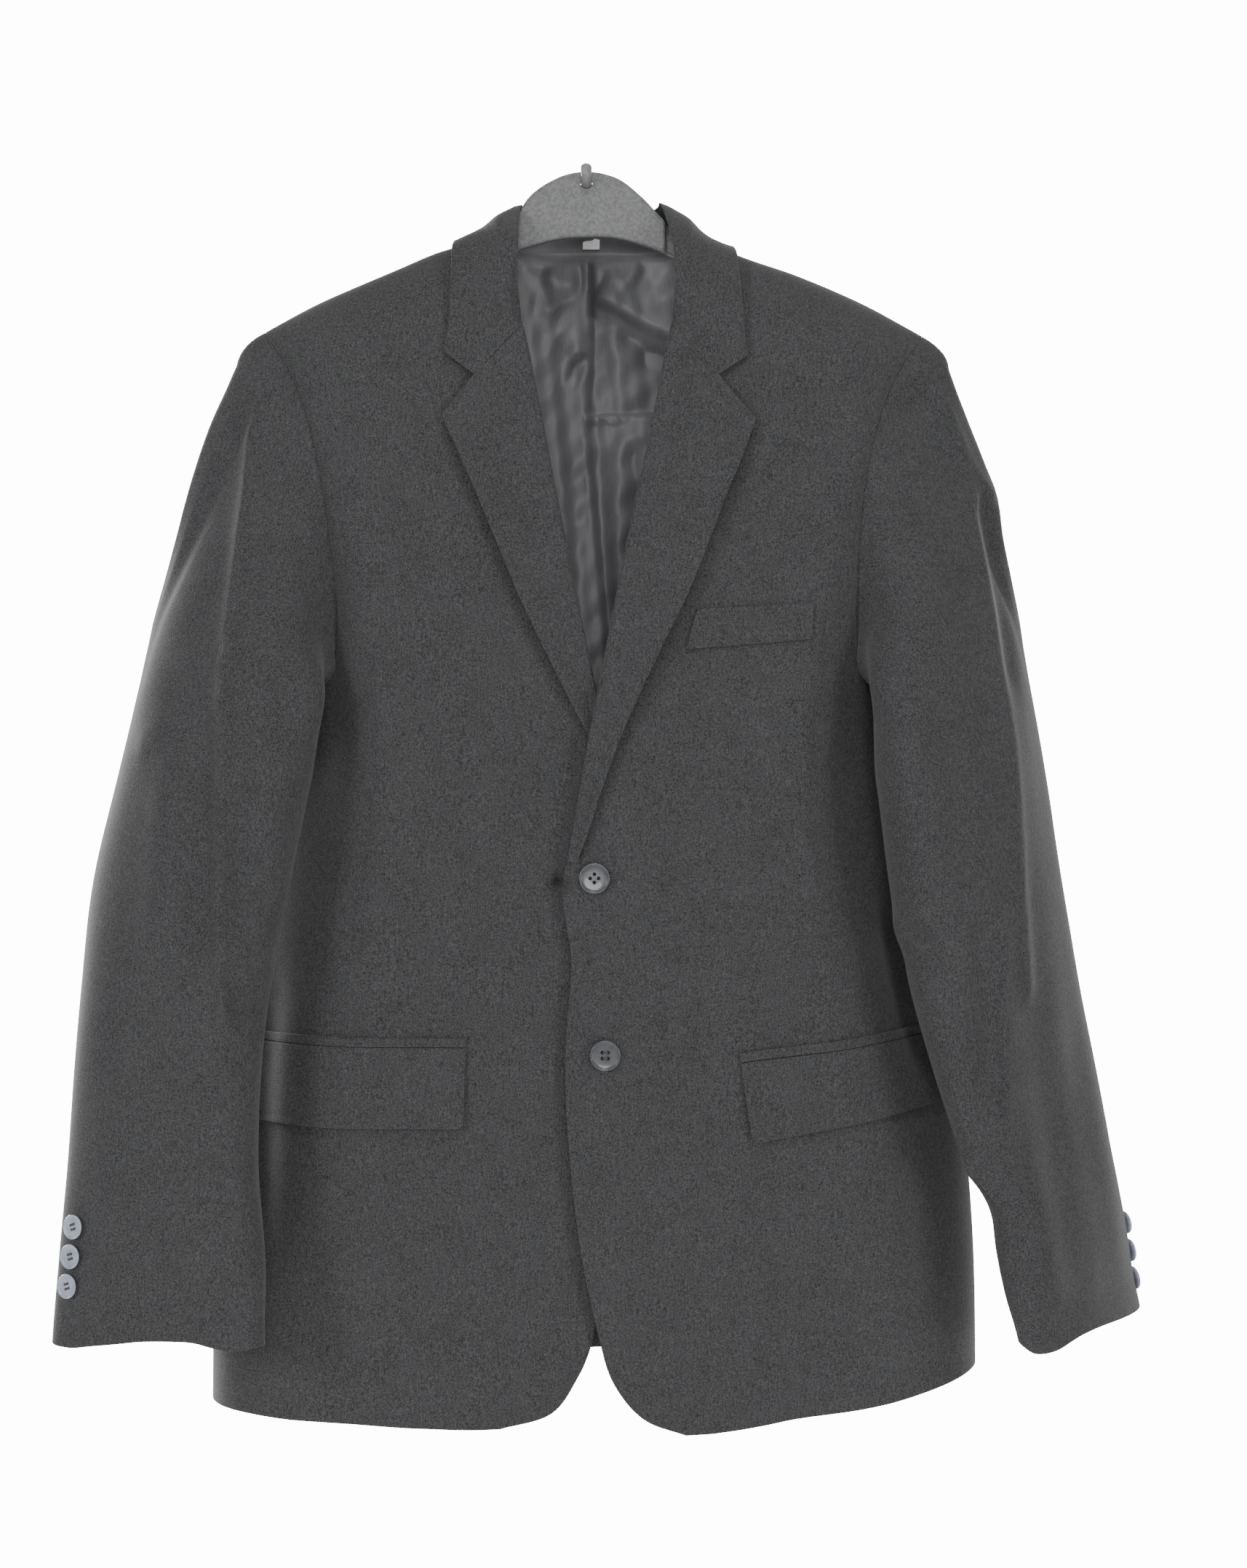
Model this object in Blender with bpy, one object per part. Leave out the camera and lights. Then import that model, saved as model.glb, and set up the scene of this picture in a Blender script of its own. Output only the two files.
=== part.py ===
"""Two-button suit jacket on a shaped hanger that hangs from a wall hook.

Axes: +X to the viewer's right, the front of the jacket faces -Y, +Z up.  The origin is
the middle of the flat back of the hook's wall plate.  All sizes and tables here are in
millimetres, and MM turns them into Blender's metres.  Left and right are the wearer's.

A place on the jacket's body is given by `h`, the distance from the centre line towards
its own side, and by its height z or its drop below the shoulder line.  Pieces that lie
on the body take its points and move them out by a lift.
"""
import math
from collections import namedtuple

import bmesh
import bpy
import numpy as np
from mathutils import Matrix, Vector

MM = 0.001
SIDES = {"left": 1.0, "right": -1.0}

# ---------------------------------------------------------------- driving sizes
CENTRE_X = 5.0            # the jacket's centre line, beside the hook
SEAM_GAP = 0.3            # between pieces that are sewn together
LAY_GAP = 0.6             # under a piece that lies on another
CLOTH = 1.6               # outer cloth
LINING = 0.9
RIDGE_Y = -62.0           # depth of the shoulder line
SHOULDER_ROLL_FRONT = 52.0   # drop over which the shoulder rounds into the front
SHOULDER_ROLL_BACK = 60.0
BACK_FLANK = 80.0         # width over which the back rounds into the side
BACK_POWER = 1.7
OVERLAP_LIFT = 8.0        # the left front stands out where it laps the right one
OVERLAP_START = 92.0
OVERLAP_FULL = 20.0
LAPEL_LIFT = 3.0
FLAP_LIFT = 2.8
FRONT_BUTTON = 20.0       # diameter
CUFF_BUTTON = 15.5
HANGER_Y = -64.0
HANGER_HOLE = 4.0         # radius
HOOK_ROD = 3.7            # radius
HOOK_PLATE = 13.0         # radius
HOOK_PLATE_DEPTH = 3.0
HOOK_REACH = 68.0         # where the rod starts to bend up
HOOK_BEND = 5.5
HOOK_TIP_Z = 10.8

# ---------------------------------------------------------------- tables
Body = namedtuple("Body", "z half side_y front_y back_y flank power")
BODY = [
    Body(40, 262, -60, -84, -16, 90, 1.20),
    Body(-105, 262, -58, -95, -14, 90, 1.20),
    Body(-200, 252, -50, -100, -12, 90, 1.20),
    Body(-350, 225, -38, -103, -12, 86, 1.15),
    Body(-400, 225, -37, -104, -12, 86, 1.15),
    Body(-480, 233, -38, -105, -11, 88, 1.25),
    Body(-560, 244, -40, -104, -10, 88, 1.40),
    Body(-640, 252, -43, -102, -9, 80, 1.60),
    Body(-720, 257, -46, -99, -8, 70, 1.80),
    Body(-840, 258, -48, -97, -8, 65, 1.90),
]

Shoulder = namedtuple("Shoulder", "h left right")
SHOULDER = [
    Shoulder(0, 22, 22),
    Shoulder(30, 6, 6),
    Shoulder(55, -22, -21),
    Shoulder(70, -34.5, -33.5),
    Shoulder(82, -41, -38.5),
    Shoulder(94, -46.6, -42.5),
    Shoulder(107, -51.5, -46.7),
    Shoulder(132, -60, -57.5),
    Shoulder(159, -71, -69),
    Shoulder(185, -83, -80.5),
    Shoulder(208, -95.3, -92.3),
    Shoulder(222, -103, -100),
    Shoulder(234, -110, -107),
]

# Each row joins a point on the outer edge (armhole, then side seam) to one on the
# inner edge (neck, roll line, then front edge).  The rows of the side seam take their
# outer h from BODY.
UNDERARM_ROW = 12
Front = namedtuple("Front", "row out_h out_z in_h in_z")
FRONT = {
    "left": [
        Front(0, 220.0, -102, 62.0, -29.5),
        Front(1, 208.6, -119, 59.5, -48),
        Front(2, 198.4, -138, 56.0, -72),
        Front(3, 189.9, -160, 51.5, -101),
        Front(4, 183.2, -187, 45.5, -135),
        Front(5, 179.0, -213, 37.5, -175),
        Front(6, 176.3, -242, 29.0, -216),
        Front(7, 175.2, -268, 20.5, -258),
        Front(8, 175.1, -294, 12.0, -302),
        Front(9, 178.0, -320, 3.0, -346),
        Front(10, 187.0, -337, -4.0, -383),
        Front(11, 203.0, -349, -9.3, -412),
        Front(12, 241.0, -353, -15.0, -445),
        Front(13, 241.0, -400, -20.2, -470),
        Front(14, 241.0, -440, -16.9, -495),
        Front(15, 244.0, -490, -14.0, -520),
        Front(16, 248.0, -540, -17.5, -565),
        Front(17, 251.0, -590, -17.5, -612),
        Front(18, 254.0, -640, -13.2, -665),
        Front(19, 256.0, -690, -6.5, -716),
        Front(20, 257.0, -730, 2.5, -757),
        Front(21, 257.0, -757, 13.7, -789),
        Front(22, 257.0, -776, 28.7, -813),
        Front(23, 257.0, -790, 61.2, -825),
    ],
    "right": [
        Front(0, 220.0, -99.5, 62.0, -28.5),
        Front(1, 208.6, -118, 57.5, -47),
        Front(2, 198.0, -138, 52.0, -71),
        Front(3, 189.8, -160, 46.5, -101),
        Front(4, 183.6, -187, 39.5, -135),
        Front(5, 179.0, -213, 32.5, -172),
        Front(6, 175.6, -242, 25.0, -212),
        Front(7, 173.3, -268, 17.0, -252),
        Front(8, 172.2, -294, 7.5, -300),
        Front(9, 175.2, -320, -2.5, -345),
        Front(10, 185.0, -337, -9.0, -378),
        Front(11, 202.0, -349, -14.5, -412),
        Front(12, 241.0, -353, -18.5, -443),
        Front(13, 241.0, -400, -21.0, -470),
        Front(14, 241.0, -445, -21.5, -497),
        Front(15, 244.0, -500, -22.0, -525),
        Front(16, 248.0, -552, -22.5, -565),
        Front(17, 251.0, -604, -22.0, -612),
        Front(18, 254.0, -655, -18.5, -660),
        Front(19, 256.0, -705, -11.0, -708),
        Front(20, 257.0, -746, -2.0, -750),
        Front(21, 257.0, -778, 9.0, -789),
        Front(22, 257.0, -800, 27.0, -812),
        Front(23, 257.0, -816, 62.0, -822.5),
    ],
}

Hem = namedtuple("Hem", "h left right")
HEM = [
    Hem(55, -825, -822),
    Hem(80, -824.3, -823),
    Hem(110, -819.5, -822),
    Hem(132, -815, -821.3),
    Hem(183, -807.5, -818.5),
    Hem(230, -797, -816.3),
    Hem(258, -790, -816),
]

BACK_UNDERARM_ROW = 10
Back = namedtuple("Back", "row out_h out_z in_z")
BACK_UPPER = [
    Back(0, 220, -102, -29.0),
    Back(1, 210, -122, -52),
    Back(2, 203, -145, -85),
    Back(3, 198, -170, -115),
    Back(4, 195, -200, -150),
    Back(5, 194, -230, -187),
    Back(6, 194, -262, -224),
    Back(7, 197, -295, -262),
    Back(8, 202, -323, -300),
    Back(9, 211, -344, -335),
    Back(10, 241, -353, -370),
    Back(11, 241, -400, -415),
    Back(12, 242, -450, -460),
    Back(13, 245, -510, -518),
    Back(14, 249, -570, -576),
    Back(15, 253, -630, -635),
]
BACK = {
    "left": BACK_UPPER + [
        Back(16, 256, -690, -692),
        Back(17, 257, -742, -746),
        Back(18, 257, -790, -797),
    ],
    "right": BACK_UPPER + [
        Back(16, 256, -695, -692),
        Back(17, 257, -756, -746),
        Back(18, 257, -816, -797),
    ],
}
# Share of a back row's width at each column, from the outer edge to the centre seam.
BACK_COLUMNS = (1.0, 0.94, 0.87, 0.78, 0.68, 0.57, 0.45, 0.32, 0.21, 0.10, 0.0)

Neck = namedtuple("Neck", "h z")
BACK_NECK = [Neck(0, -29.0), Neck(30, -28.4), Neck(50, -28.4), Neck(62, -29.0)]

# Sleeve sections are ovals between an outer and an inner end; `thick` is half the depth.
Sleeve = namedtuple("Sleeve", "z out_x out_y in_x in_y thick")
SLEEVE = {
    "left": [
        Sleeve(-400, 311.3, -46, 193.3, -126, 33),
        Sleeve(-480, 324.2, -46, 203.8, -129, 33),
        Sleeve(-560, 339.2, -46, 222.0, -132, 30),
        Sleeve(-640, 353.8, -47, 242.8, -136, 26),
        Sleeve(-700, 365.7, -48, 263.3, -138, 22),
        Sleeve(-740, 370.7, -50, 268.9, -140, 19),
        Sleeve(-760, 373.6, -50, 274.4, -140, 18),
    ],
    "right": [
        Sleeve(-400, -312.4, -72, -180.0, -124, 36),
        Sleeve(-480, -327.3, -84, -192.6, -129, 34),
        Sleeve(-560, -332.7, -96, -204.4, -134, 31),
        Sleeve(-640, -335.6, -108, -208.7, -140, 27),
        Sleeve(-700, -339.3, -116, -204.8, -144, 22),
        Sleeve(-740, -341.0, -121, -203.0, -147, 19),
        Sleeve(-760, -341.7, -124, -201.8, -148, 18),
    ],
}
# How far the outer edge of each sleeve is drawn in, by height.
Trim = namedtuple("Trim", "z left right")
SLEEVE_TRIM = [
    Trim(-100, 0.0, 0.0),
    Trim(-112, 3.5, 5.0),
    Trim(-125, 9.5, 10.0),
    Trim(-140, 14.5, 13.5),
    Trim(-160, 16.5, 13.5),
    Trim(-184, 14.0, 13.0),
    Trim(-208, 10.0, 12.2),
    Trim(-236, 11.0, 11.3),
    Trim(-265, 9.5, 9.2),
    Trim(-300, 6.8, 5.8),
    Trim(-350, 6.4, 5.2),
    Trim(-400, 7.4, 5.6),
    Trim(-450, 8.2, 5.4),
    Trim(-510, 6.9, 5.0),
    Trim(-560, 7.2, 2.9),
    Trim(-620, 7.4, 0.8),
    Trim(-690, 6.0, 0.0),
    Trim(-760, 3.6, 0.4),
]
SLEEVE_POWER = 2.2
FRONT_SEAM_COLUMN = 12          # where the armhole's loop meets the sleeve's front seam
BACK_SEAM_FROM_END = 9          # columns from the loop's end to its back seam
CUFF_FRONT_SEAM = 0.53          # the same seams at the cuff, as shares of the section
CUFF_BACK_SEAM = 0.95
CAP_SPREAD = 0.27               # how far the cap turns between armhole and upper arm
CAP_ROWS = 7
ARM_ROWS = 7
# How the cap leaves the armhole: degrees away from the body's face, and reach.
CapStart = namedtuple("CapStart", "tilt reach")
CAP_TOP = CapStart(3, 0.80)
CAP_FRONT = CapStart(24, 0.60)
CAP_BACK = CapStart(0, 0.60)
CAP_UNDER = CapStart(92, 0.55)

# Collar sections from the centre back round to the gorge, for one half.  Drops below
# the shoulder line are negative on the back.
Collar = namedtuple("Collar", "s lean neck_h neck_drop fold_h fold_y fold_z edge_h edge_drop")
COLLAR = [
    Collar(0, 0.0, 0.0, -51.0, 0.0, -16, -6, 0.0, -80),
    Collar(1, 0.0, 26.0, -37.0, 22.0, -17, -7, 36.0, -55),
    Collar(2, 0.0, 47.0, -15.0, 39.0, -29, -9.5, 64.0, -26),
    Collar(3, 0.0, 59.0, -3.5, 47.5, -47, -11.5, 83.0, -9),
    Collar(4, 0.0, 62.0, 0.0, 49.4, -64, -13.5, 91.6, 0),
    Collar(5, 0.6, 59.6, 11.0, 50.2, -81, -29, 93.2, 13),
    Collar(6, 1.6, 56.0, 30.0, 51.0, -94, -48, 94.6, 32),
    Collar(7, 2.2, 52.6, 55.0, 51.0, -101, -71, 96.6, 54),
    Collar(8, 2.4, 49.2, 80.5, 49.4, -105, -97, 99.5, 74),
]
COLLAR_RISE = {"left": 4.4, "right": 6.2}    # height of the fall over the neck seam
NOTCH_SHARE = 0.6               # how far across the collar and lapel the notch lies
# The collar's end: its roll point, the notch's inner corner and the collar's point.
CollarEnd = namedtuple("CollarEnd", "roll_h roll_z notch_h notch_z point_h point_z")
COLLAR_END = {
    "left": CollarEnd(51.6, -101.5, 81.8, -134.3, 101.0, -121.5),
    "right": CollarEnd(46.6, -101.5, 77.9, -134.0, 98.1, -118.7),
}
RIDGE_ROOM = 0.8                # the collar stands off more where the shoulder turns
GORGE_GAP = 0.9                 # drop from the collar's end to the lapel's top

Lapel = namedtuple("Lapel", "row roll_h roll_z edge_h edge_z")
LAPEL = {
    "left": [
        Lapel(0, 51.6, -102.5, 106.4, -164),
        Lapel(1, 47.6, -122, 96.1, -192),
        Lapel(2, 42.0, -152, 85.3, -217),
        Lapel(3, 36.0, -183, 75.0, -243),
        Lapel(4, 28.5, -218, 62.4, -274),
        Lapel(5, 18.5, -268, 42.3, -316),
        Lapel(6, 7.5, -324, 22.1, -362),
        Lapel(7, -4.0, -383, 6.5, -404),
        Lapel(8, -12.0, -430, -2.5, -432),
        Lapel(9, -16.2, -452, -10.5, -453),
    ],
    "right": [
        Lapel(0, 46.6, -102.5, 99.0, -162),
        Lapel(1, 42.6, -121, 87.9, -186),
        Lapel(2, 37.0, -149, 75.2, -215),
        Lapel(3, 31.5, -177, 64.0, -242),
        Lapel(4, 24.5, -214, 49.5, -277),
        Lapel(5, 14.5, -264, 32.0, -314),
        Lapel(6, 3.0, -320, 16.0, -346),
        Lapel(7, -7.5, -371, 1.3, -376),
        Lapel(8, -13.5, -406, -6.5, -408),
        Lapel(9, -17.5, -436, -13.0, -437),
    ],
}
LAPEL_NOTCH_FADE = 0.9

# A flat trim is a four-cornered patch: inner top, outer top, inner bottom, outer bottom.
Patch = namedtuple("Patch", "side top_in top_out low_in low_out lift columns rows")
PATCHES = {
    "breast_welt": Patch("left", (67.5, -288), (144, -283.7), (60.0, -314.5), (143, -307.5),
                         2.2, 6, 2),
    "jet_left": Patch("left", (96.0, -576.5), (231, -560.5), (96.0, -583), (231, -566.5),
                      2.2, 9, 1),
    "jet_right": Patch("right", (83.0, -567.5), (233, -566), (83.0, -573.5), (233, -572),
                       2.2, 9, 1),
    "flap_left": Patch("left", (96.0, -583.4), (231, -566.9), (103.5, -636), (231, -612),
                       FLAP_LIFT, 10, 4),
    "flap_right": Patch("right", (83.0, -573.9), (233, -572.4), (84.5, -627), (233, -624),
                        FLAP_LIFT, 10, 4),
}
FLAP_CORNER = 8.0

HangerRow = namedtuple("HangerRow", "x top low depth power")
HANGER_WEB = [
    HangerRow(-57, -37.0, -50.0, 5.0, 3.0),
    HangerRow(-50, -29.0, -46.8, 4.2, 4.0),
    HangerRow(-45, -19.5, -44.6, 4.0, 5.0),
    HangerRow(-40, -11.0, -43.0, 4.0, 5.0),
    HangerRow(-34, -5.0, -41.3, 4.0, 5.0),
    HangerRow(-24, 1.5, -38.5, 4.0, 5.0),
    HangerRow(-12, 6.4, -36.6, 4.0, 5.0),
    HangerRow(0, 7.8, -36.0, 4.0, 5.0),
    HangerRow(12, 6.4, -36.0, 4.0, 5.0),
    HangerRow(24, 1.6, -37.6, 4.0, 5.0),
    HangerRow(38, -10.0, -41.6, 4.0, 5.0),
    HangerRow(48, -20.6, -45.3, 4.0, 5.0),
    HangerRow(57, -34.0, -49.5, 4.4, 4.0),
    HangerRow(65, -42.0, -53.0, 6.0, 3.0),
]
HangerArm = namedtuple("HangerArm", "h height depth")
HANGER_ARM = [
    HangerArm(72, 15, 6),
    HangerArm(100, 18, 8.5),
    HangerArm(135, 20, 11),
    HangerArm(170, 20, 12),
    HangerArm(192, 18, 10),
    HangerArm(202, 13, 7.5),
    HangerArm(207, 8, 4.5),
]
HANGER_CLEARANCE = 2.8          # from the shoulder line down to the top of an arm

Button = namedtuple("Button", "name side h z")
FRONT_BUTTONS = [
    Button("front_button_upper", "left", 1.0, -462.9),
    Button("front_button_lower", "left", 8.0, -577.6),
]
CuffButton = namedtuple("CuffButton", "side z share")
CUFF_BUTTONS = [
    CuffButton("left", -698.5, 0.022),
    CuffButton("left", -717.0, 0.022),
    CuffButton("left", -735.5, 0.022),
    CuffButton("right", -684.0, 0.122),
    CuffButton("right", -702.8, 0.117),
    CuffButton("right", -721.6, 0.110),
]

Finish = namedtuple("Finish", "colour roughness metallic")
FINISHES = {
    "suit_cloth": Finish((0.060, 0.060, 0.063, 1.0), 0.92, 0.0),
    "lining_satin": Finish((0.095, 0.095, 0.100, 1.0), 0.45, 0.0),
    "button_resin": Finish((0.100, 0.105, 0.120, 1.0), 0.30, 0.0),
    "hanger_plastic": Finish((0.100, 0.102, 0.105, 1.0), 0.55, 0.0),
    "hook_plastic": Finish((0.080, 0.080, 0.082, 1.0), 0.45, 0.0),
    "label_tape": Finish((0.850, 0.850, 0.840, 1.0), 0.80, 0.0),
}


# ---------------------------------------------------------------- tables to curves
def row_at(rows, key, value):
    """The row of a table at `value` of its column `key`, on a smooth curve through all."""
    names = rows[0]._fields
    table = np.array(rows, float)
    knots = table[:, names.index(key)]
    if knots[0] > knots[-1]:
        table, knots = table[::-1], knots[::-1]
    last = len(knots) - 1
    value = min(max(value, knots[0]), knots[last])
    i = min(max(int(np.searchsorted(knots, value, side="right")) - 1, 0), last - 1)
    span = knots[i + 1] - knots[i]
    t = (value - knots[i]) / span

    def slope(j):
        before, after = max(j - 1, 0), min(j + 1, last)
        return (table[after] - table[before]) / (knots[after] - knots[before])

    values = ((2 * t ** 3 - 3 * t ** 2 + 1) * table[i]
              + (t ** 3 - 2 * t ** 2 + t) * span * slope(i)
              + (3 * t ** 2 - 2 * t ** 3) * table[i + 1]
              + (t ** 3 - t ** 2) * span * slope(i + 1))
    return type(rows[0])(*values)


def mix(a, b, t):
    return a + (b - a) * t


def smooth(t):
    t = min(max(t, 0.0), 1.0)
    return t * t * (3 - 2 * t)


def rounding(t, power):
    """0 at an edge and 1 on the flat, along a superellipse."""
    t = min(max(t, 0.0), 1.0)
    return (1 - (1 - t) ** power) ** (1 / power)


# ---------------------------------------------------------------- the body's form
def shoulder_z(side, h):
    return getattr(row_at(SHOULDER, "h", abs(h)), side)


def front_y(side, h, z):
    body = row_at(BODY, "z", z)
    top = rounding((shoulder_z(side, h) - z) / SHOULDER_ROLL_FRONT, 2.0)
    flank = rounding((body.half - abs(h)) / body.flank, body.power)
    y = body.front_y + (RIDGE_Y - body.front_y) * (1 - top)
    y += (body.side_y - body.front_y) * (1 - flank) * top
    if side == "left":
        y -= OVERLAP_LIFT * smooth((OVERLAP_START - h) / (OVERLAP_START - OVERLAP_FULL)) * top
    return y


def back_y(side, h, z):
    body = row_at(BODY, "z", z)
    top = rounding((shoulder_z(side, h) - z) / SHOULDER_ROLL_BACK, 2.0)
    flank = rounding((body.half - abs(h)) / BACK_FLANK, BACK_POWER)
    y = body.back_y + (RIDGE_Y - body.back_y) * (1 - top)
    return y + (body.side_y - body.back_y) * (1 - flank) * top


def place(side, h, y, z):
    return Vector((CENTRE_X + SIDES[side] * h, y, z))


def front_place(side, h, z, lift=0.0):
    """A point of the front's outer face, moved out by `lift`."""
    step = 2.0
    here = place(side, h, front_y(side, h, z), z)
    across = place(side, h + step, front_y(side, h + step, z), z) - here
    down = place(side, h, front_y(side, h, z - step), z - step) - here
    normal = across.cross(down).normalized()
    if normal.y > 0:
        normal.negate()
    return here + normal * lift


def across_notch(end, share):
    """h and z along the collar's end, from the roll point by the notch to its point."""
    if share < NOTCH_SHARE:
        t = share / NOTCH_SHARE
        return mix(end.roll_h, end.notch_h, t), mix(end.roll_z, end.notch_z, t)
    t = (share - NOTCH_SHARE) / (1 - NOTCH_SHARE)
    return mix(end.notch_h, end.point_h, t), mix(end.notch_z, end.point_z, t)


def body_place(side, h, drop, lift):
    """A point by its drop from the shoulder line, which is negative down the back."""
    ridge = shoulder_z(side, h)
    slope = (shoulder_z(side, h + 1) - shoulder_z(side, h - 1)) / 2
    up = Vector((-SIDES[side] * slope, 0, 1)).normalized()
    z = ridge - abs(drop)
    if drop >= 0:
        facing, roll = Vector((0, -1, 0)), SHOULDER_ROLL_FRONT
        here = place(side, h, front_y(side, h, z), z)
    else:
        facing, roll = Vector((0, 1, 0)), SHOULDER_ROLL_BACK
        here = place(side, h, back_y(side, h, z), z)
    turn = math.acos(1 - min(abs(drop) / roll, 1.0))
    return here + (up * math.cos(turn) + facing * math.sin(turn)) * lift


# ---------------------------------------------------------------- grids of the panels
def front_row(side, row):
    data = row_at(FRONT[side], "row", row)
    if row >= UNDERARM_ROW:
        data = data._replace(out_h=row_at(BODY, "z", data.out_z).half)
    return data


def front_hz(side, row, share):
    """h and z at a share of the way from a front row's inner end to its outer end."""
    data = front_row(side, row)
    h = mix(data.in_h, data.out_h, share)
    z = mix(data.in_z, data.out_z, share)
    ridge = smooth(1 - row / 5)
    if ridge:
        chord = mix(shoulder_z(side, data.in_h), shoulder_z(side, data.out_h), share)
        z += ridge * (shoulder_z(side, h) - chord)
    if row == 0:
        z = shoulder_z(side, h)
    hem = smooth((row - 18.5) / 4.5)
    if hem:
        chord = mix(hem_z(side, data.in_h), hem_z(side, data.out_h), share)
        z += hem * (hem_z(side, h) - chord)
    return h, z


def hem_z(side, h):
    return getattr(row_at(HEM, "h", h), side)


def front_grid(side, row_stops, columns):
    grid = []
    for row in row_stops:
        line = []
        for i in range(columns + 1):
            share = 1 - (1 - i / columns) ** 1.3
            h, z = front_hz(side, row, share)
            y = front_y(side, h, z)
            if row == 0:
                y = RIDGE_Y - SEAM_GAP / 2
            if i == columns and row >= UNDERARM_ROW:
                y -= SEAM_GAP / 2
            line.append(place(side, h, y, z))
        grid.append(line)
    return grid


def back_top_z(side, h):
    if h >= BACK_NECK[-1].h:
        return shoulder_z(side, h)
    return row_at(BACK_NECK, "h", h).z


def back_row(side, row):
    data = row_at(BACK[side], "row", row)
    if row >= BACK_UNDERARM_ROW:
        data = data._replace(out_h=row_at(BODY, "z", data.out_z).half)
    return data


def back_hz(side, row, share):
    """h and z at a share of the way from the centre seam to a back row's outer end."""
    data = back_row(side, row)
    h = data.out_h * share
    z = mix(data.in_z, data.out_z, share)
    top = smooth(1 - row / 6)
    if top:
        chord = mix(back_top_z(side, 0), back_top_z(side, data.out_h), share)
        z += top * (back_top_z(side, h) - chord)
    if row == 0:
        z = back_top_z(side, h)
    return h, z


def back_grid(side, row_stops, shares):
    grid = []
    for row in row_stops:
        line = []
        for share in shares:
            h, z = back_hz(side, row, share)
            y = back_y(side, h, z)
            if row == 0 and h >= BACK_NECK[-1].h:
                y = RIDGE_Y + SEAM_GAP / 2
            if share == 1.0 and row >= BACK_UNDERARM_ROW:
                y += SEAM_GAP / 2
            line.append(place(side, max(h, SEAM_GAP / 2), y, z))
        grid.append(line)
    return grid


# ---------------------------------------------------------------- meshes
def finish_material(slot):
    material = bpy.data.materials.get(slot)
    if material:
        return material
    finish = FINISHES[slot]
    material = bpy.data.materials.new(slot)
    material.use_nodes = True
    shader = material.node_tree.nodes["Principled BSDF"]
    shader.inputs["Base Color"].default_value = finish.colour
    shader.inputs["Roughness"].default_value = finish.roughness
    shader.inputs["Metallic"].default_value = finish.metallic
    material.diffuse_color = finish.colour
    return material


def add_object(name, points, faces, slot, sharp=40.0):
    """A closed mesh object from points in millimetres, with its faces turned outwards."""
    mesh = bpy.data.meshes.new(name)
    mesh.from_pydata([tuple(c * MM for c in p) for p in points], [], faces)
    shape = bmesh.new()
    shape.from_mesh(mesh)
    bmesh.ops.triangulate(shape, faces=[f for f in shape.faces if len(f.verts) > 4])
    bmesh.ops.recalc_face_normals(shape, faces=shape.faces)
    shape.to_mesh(mesh)
    shape.free()
    mesh.shade_smooth()
    mesh.set_sharp_from_angle(angle=math.radians(sharp))
    mesh.materials.append(finish_material(slot))
    thing = bpy.data.objects.new(name, mesh)
    bpy.context.scene.collection.objects.link(thing)
    return thing


def add_wall(name, outer, inner, slot):
    """A closed wall between two grids of the same size."""
    rows, columns = len(outer), len(outer[0])
    points = [p for line in outer for p in line] + [p for line in inner for p in line]
    back = rows * columns
    faces = []
    for r in range(rows - 1):
        for c in range(columns - 1):
            a = r * columns + c
            quad = (a, a + 1, a + columns + 1, a + columns)
            faces.append(quad)
            faces.append(tuple(back + i for i in reversed(quad)))
    rim = [c for c in range(columns)]
    rim += [r * columns + columns - 1 for r in range(1, rows)]
    rim += [(rows - 1) * columns + c for c in range(columns - 2, -1, -1)]
    rim += [r * columns for r in range(rows - 2, 0, -1)]
    for a, b in zip(rim, rim[1:] + rim[:1]):
        faces.append((b, a, back + a, back + b))
    return add_object(name, points, faces, slot)


def add_loft(name, sections, slot, sharp=40.0):
    """A closed solid through loops of the same number of points, with flat ends."""
    count = len(sections[0])
    points = [p for section in sections for p in section]
    faces = []
    for s in range(len(sections) - 1):
        for i in range(count):
            j = (i + 1) % count
            a, b = s * count, (s + 1) * count
            faces.append((a + i, a + j, b + j, b + i))
    faces.append(tuple(reversed(range(count))))
    faces.append(tuple(range(len(points) - count, len(points))))
    return add_object(name, points, faces, slot, sharp)


def grid_normals(grid, outward):
    """Unit normals of an open grid, on the side that the vector `outward` shows."""
    points = np.array([[tuple(p) for p in line] for line in grid])
    normals = np.cross(np.gradient(points, axis=1), np.gradient(points, axis=0))
    normals /= np.linalg.norm(normals, axis=2, keepdims=True)
    if (normals * np.array(outward)).sum() < 0:
        normals = -normals
    return [[Vector(n) for n in line] for line in normals]


def inset(grid, normals, depth):
    return [[p - n * depth for p, n in zip(line, turned)]
            for line, turned in zip(grid, normals)]


# ---------------------------------------------------------------- body panels
LINING_STOPS = [0.3, 0.6, 1, 2, 3, 4, 5, 6, 7, 8, 9, 10, 12, 14, 16, 17.6]
PLEAT_DEPTH = 2.6
LINING_GAP = 1.8
FRONT_STOPS = [0, 0.1, 0.35] + list(range(1, 24))
FRONT_COLUMNS = 11
BACK_STOPS = [0, 0.1, 0.35] + list(range(1, 19))


def ridge_normal(side, h):
    slope = shoulder_z(side, h + 1) - shoulder_z(side, h - 1)
    return Vector((-SIDES[side] * slope / 2, 0, 1)).normalized()


def build_front(side):
    grid = front_grid(side, FRONT_STOPS, FRONT_COLUMNS)
    normals = grid_normals(grid, (0, -1, 0))
    for c in range(FRONT_COLUMNS + 1):
        normals[0][c] = ridge_normal(side, abs(grid[0][c].x - CENTRE_X))
    for r, row in enumerate(FRONT_STOPS):
        if row >= UNDERARM_ROW:
            normals[r][-1] = Vector((SIDES[side], 0, 0))
    add_wall("front_" + side, grid, inset(grid, normals, CLOTH), "suit_cloth")
    return grid, normals


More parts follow.
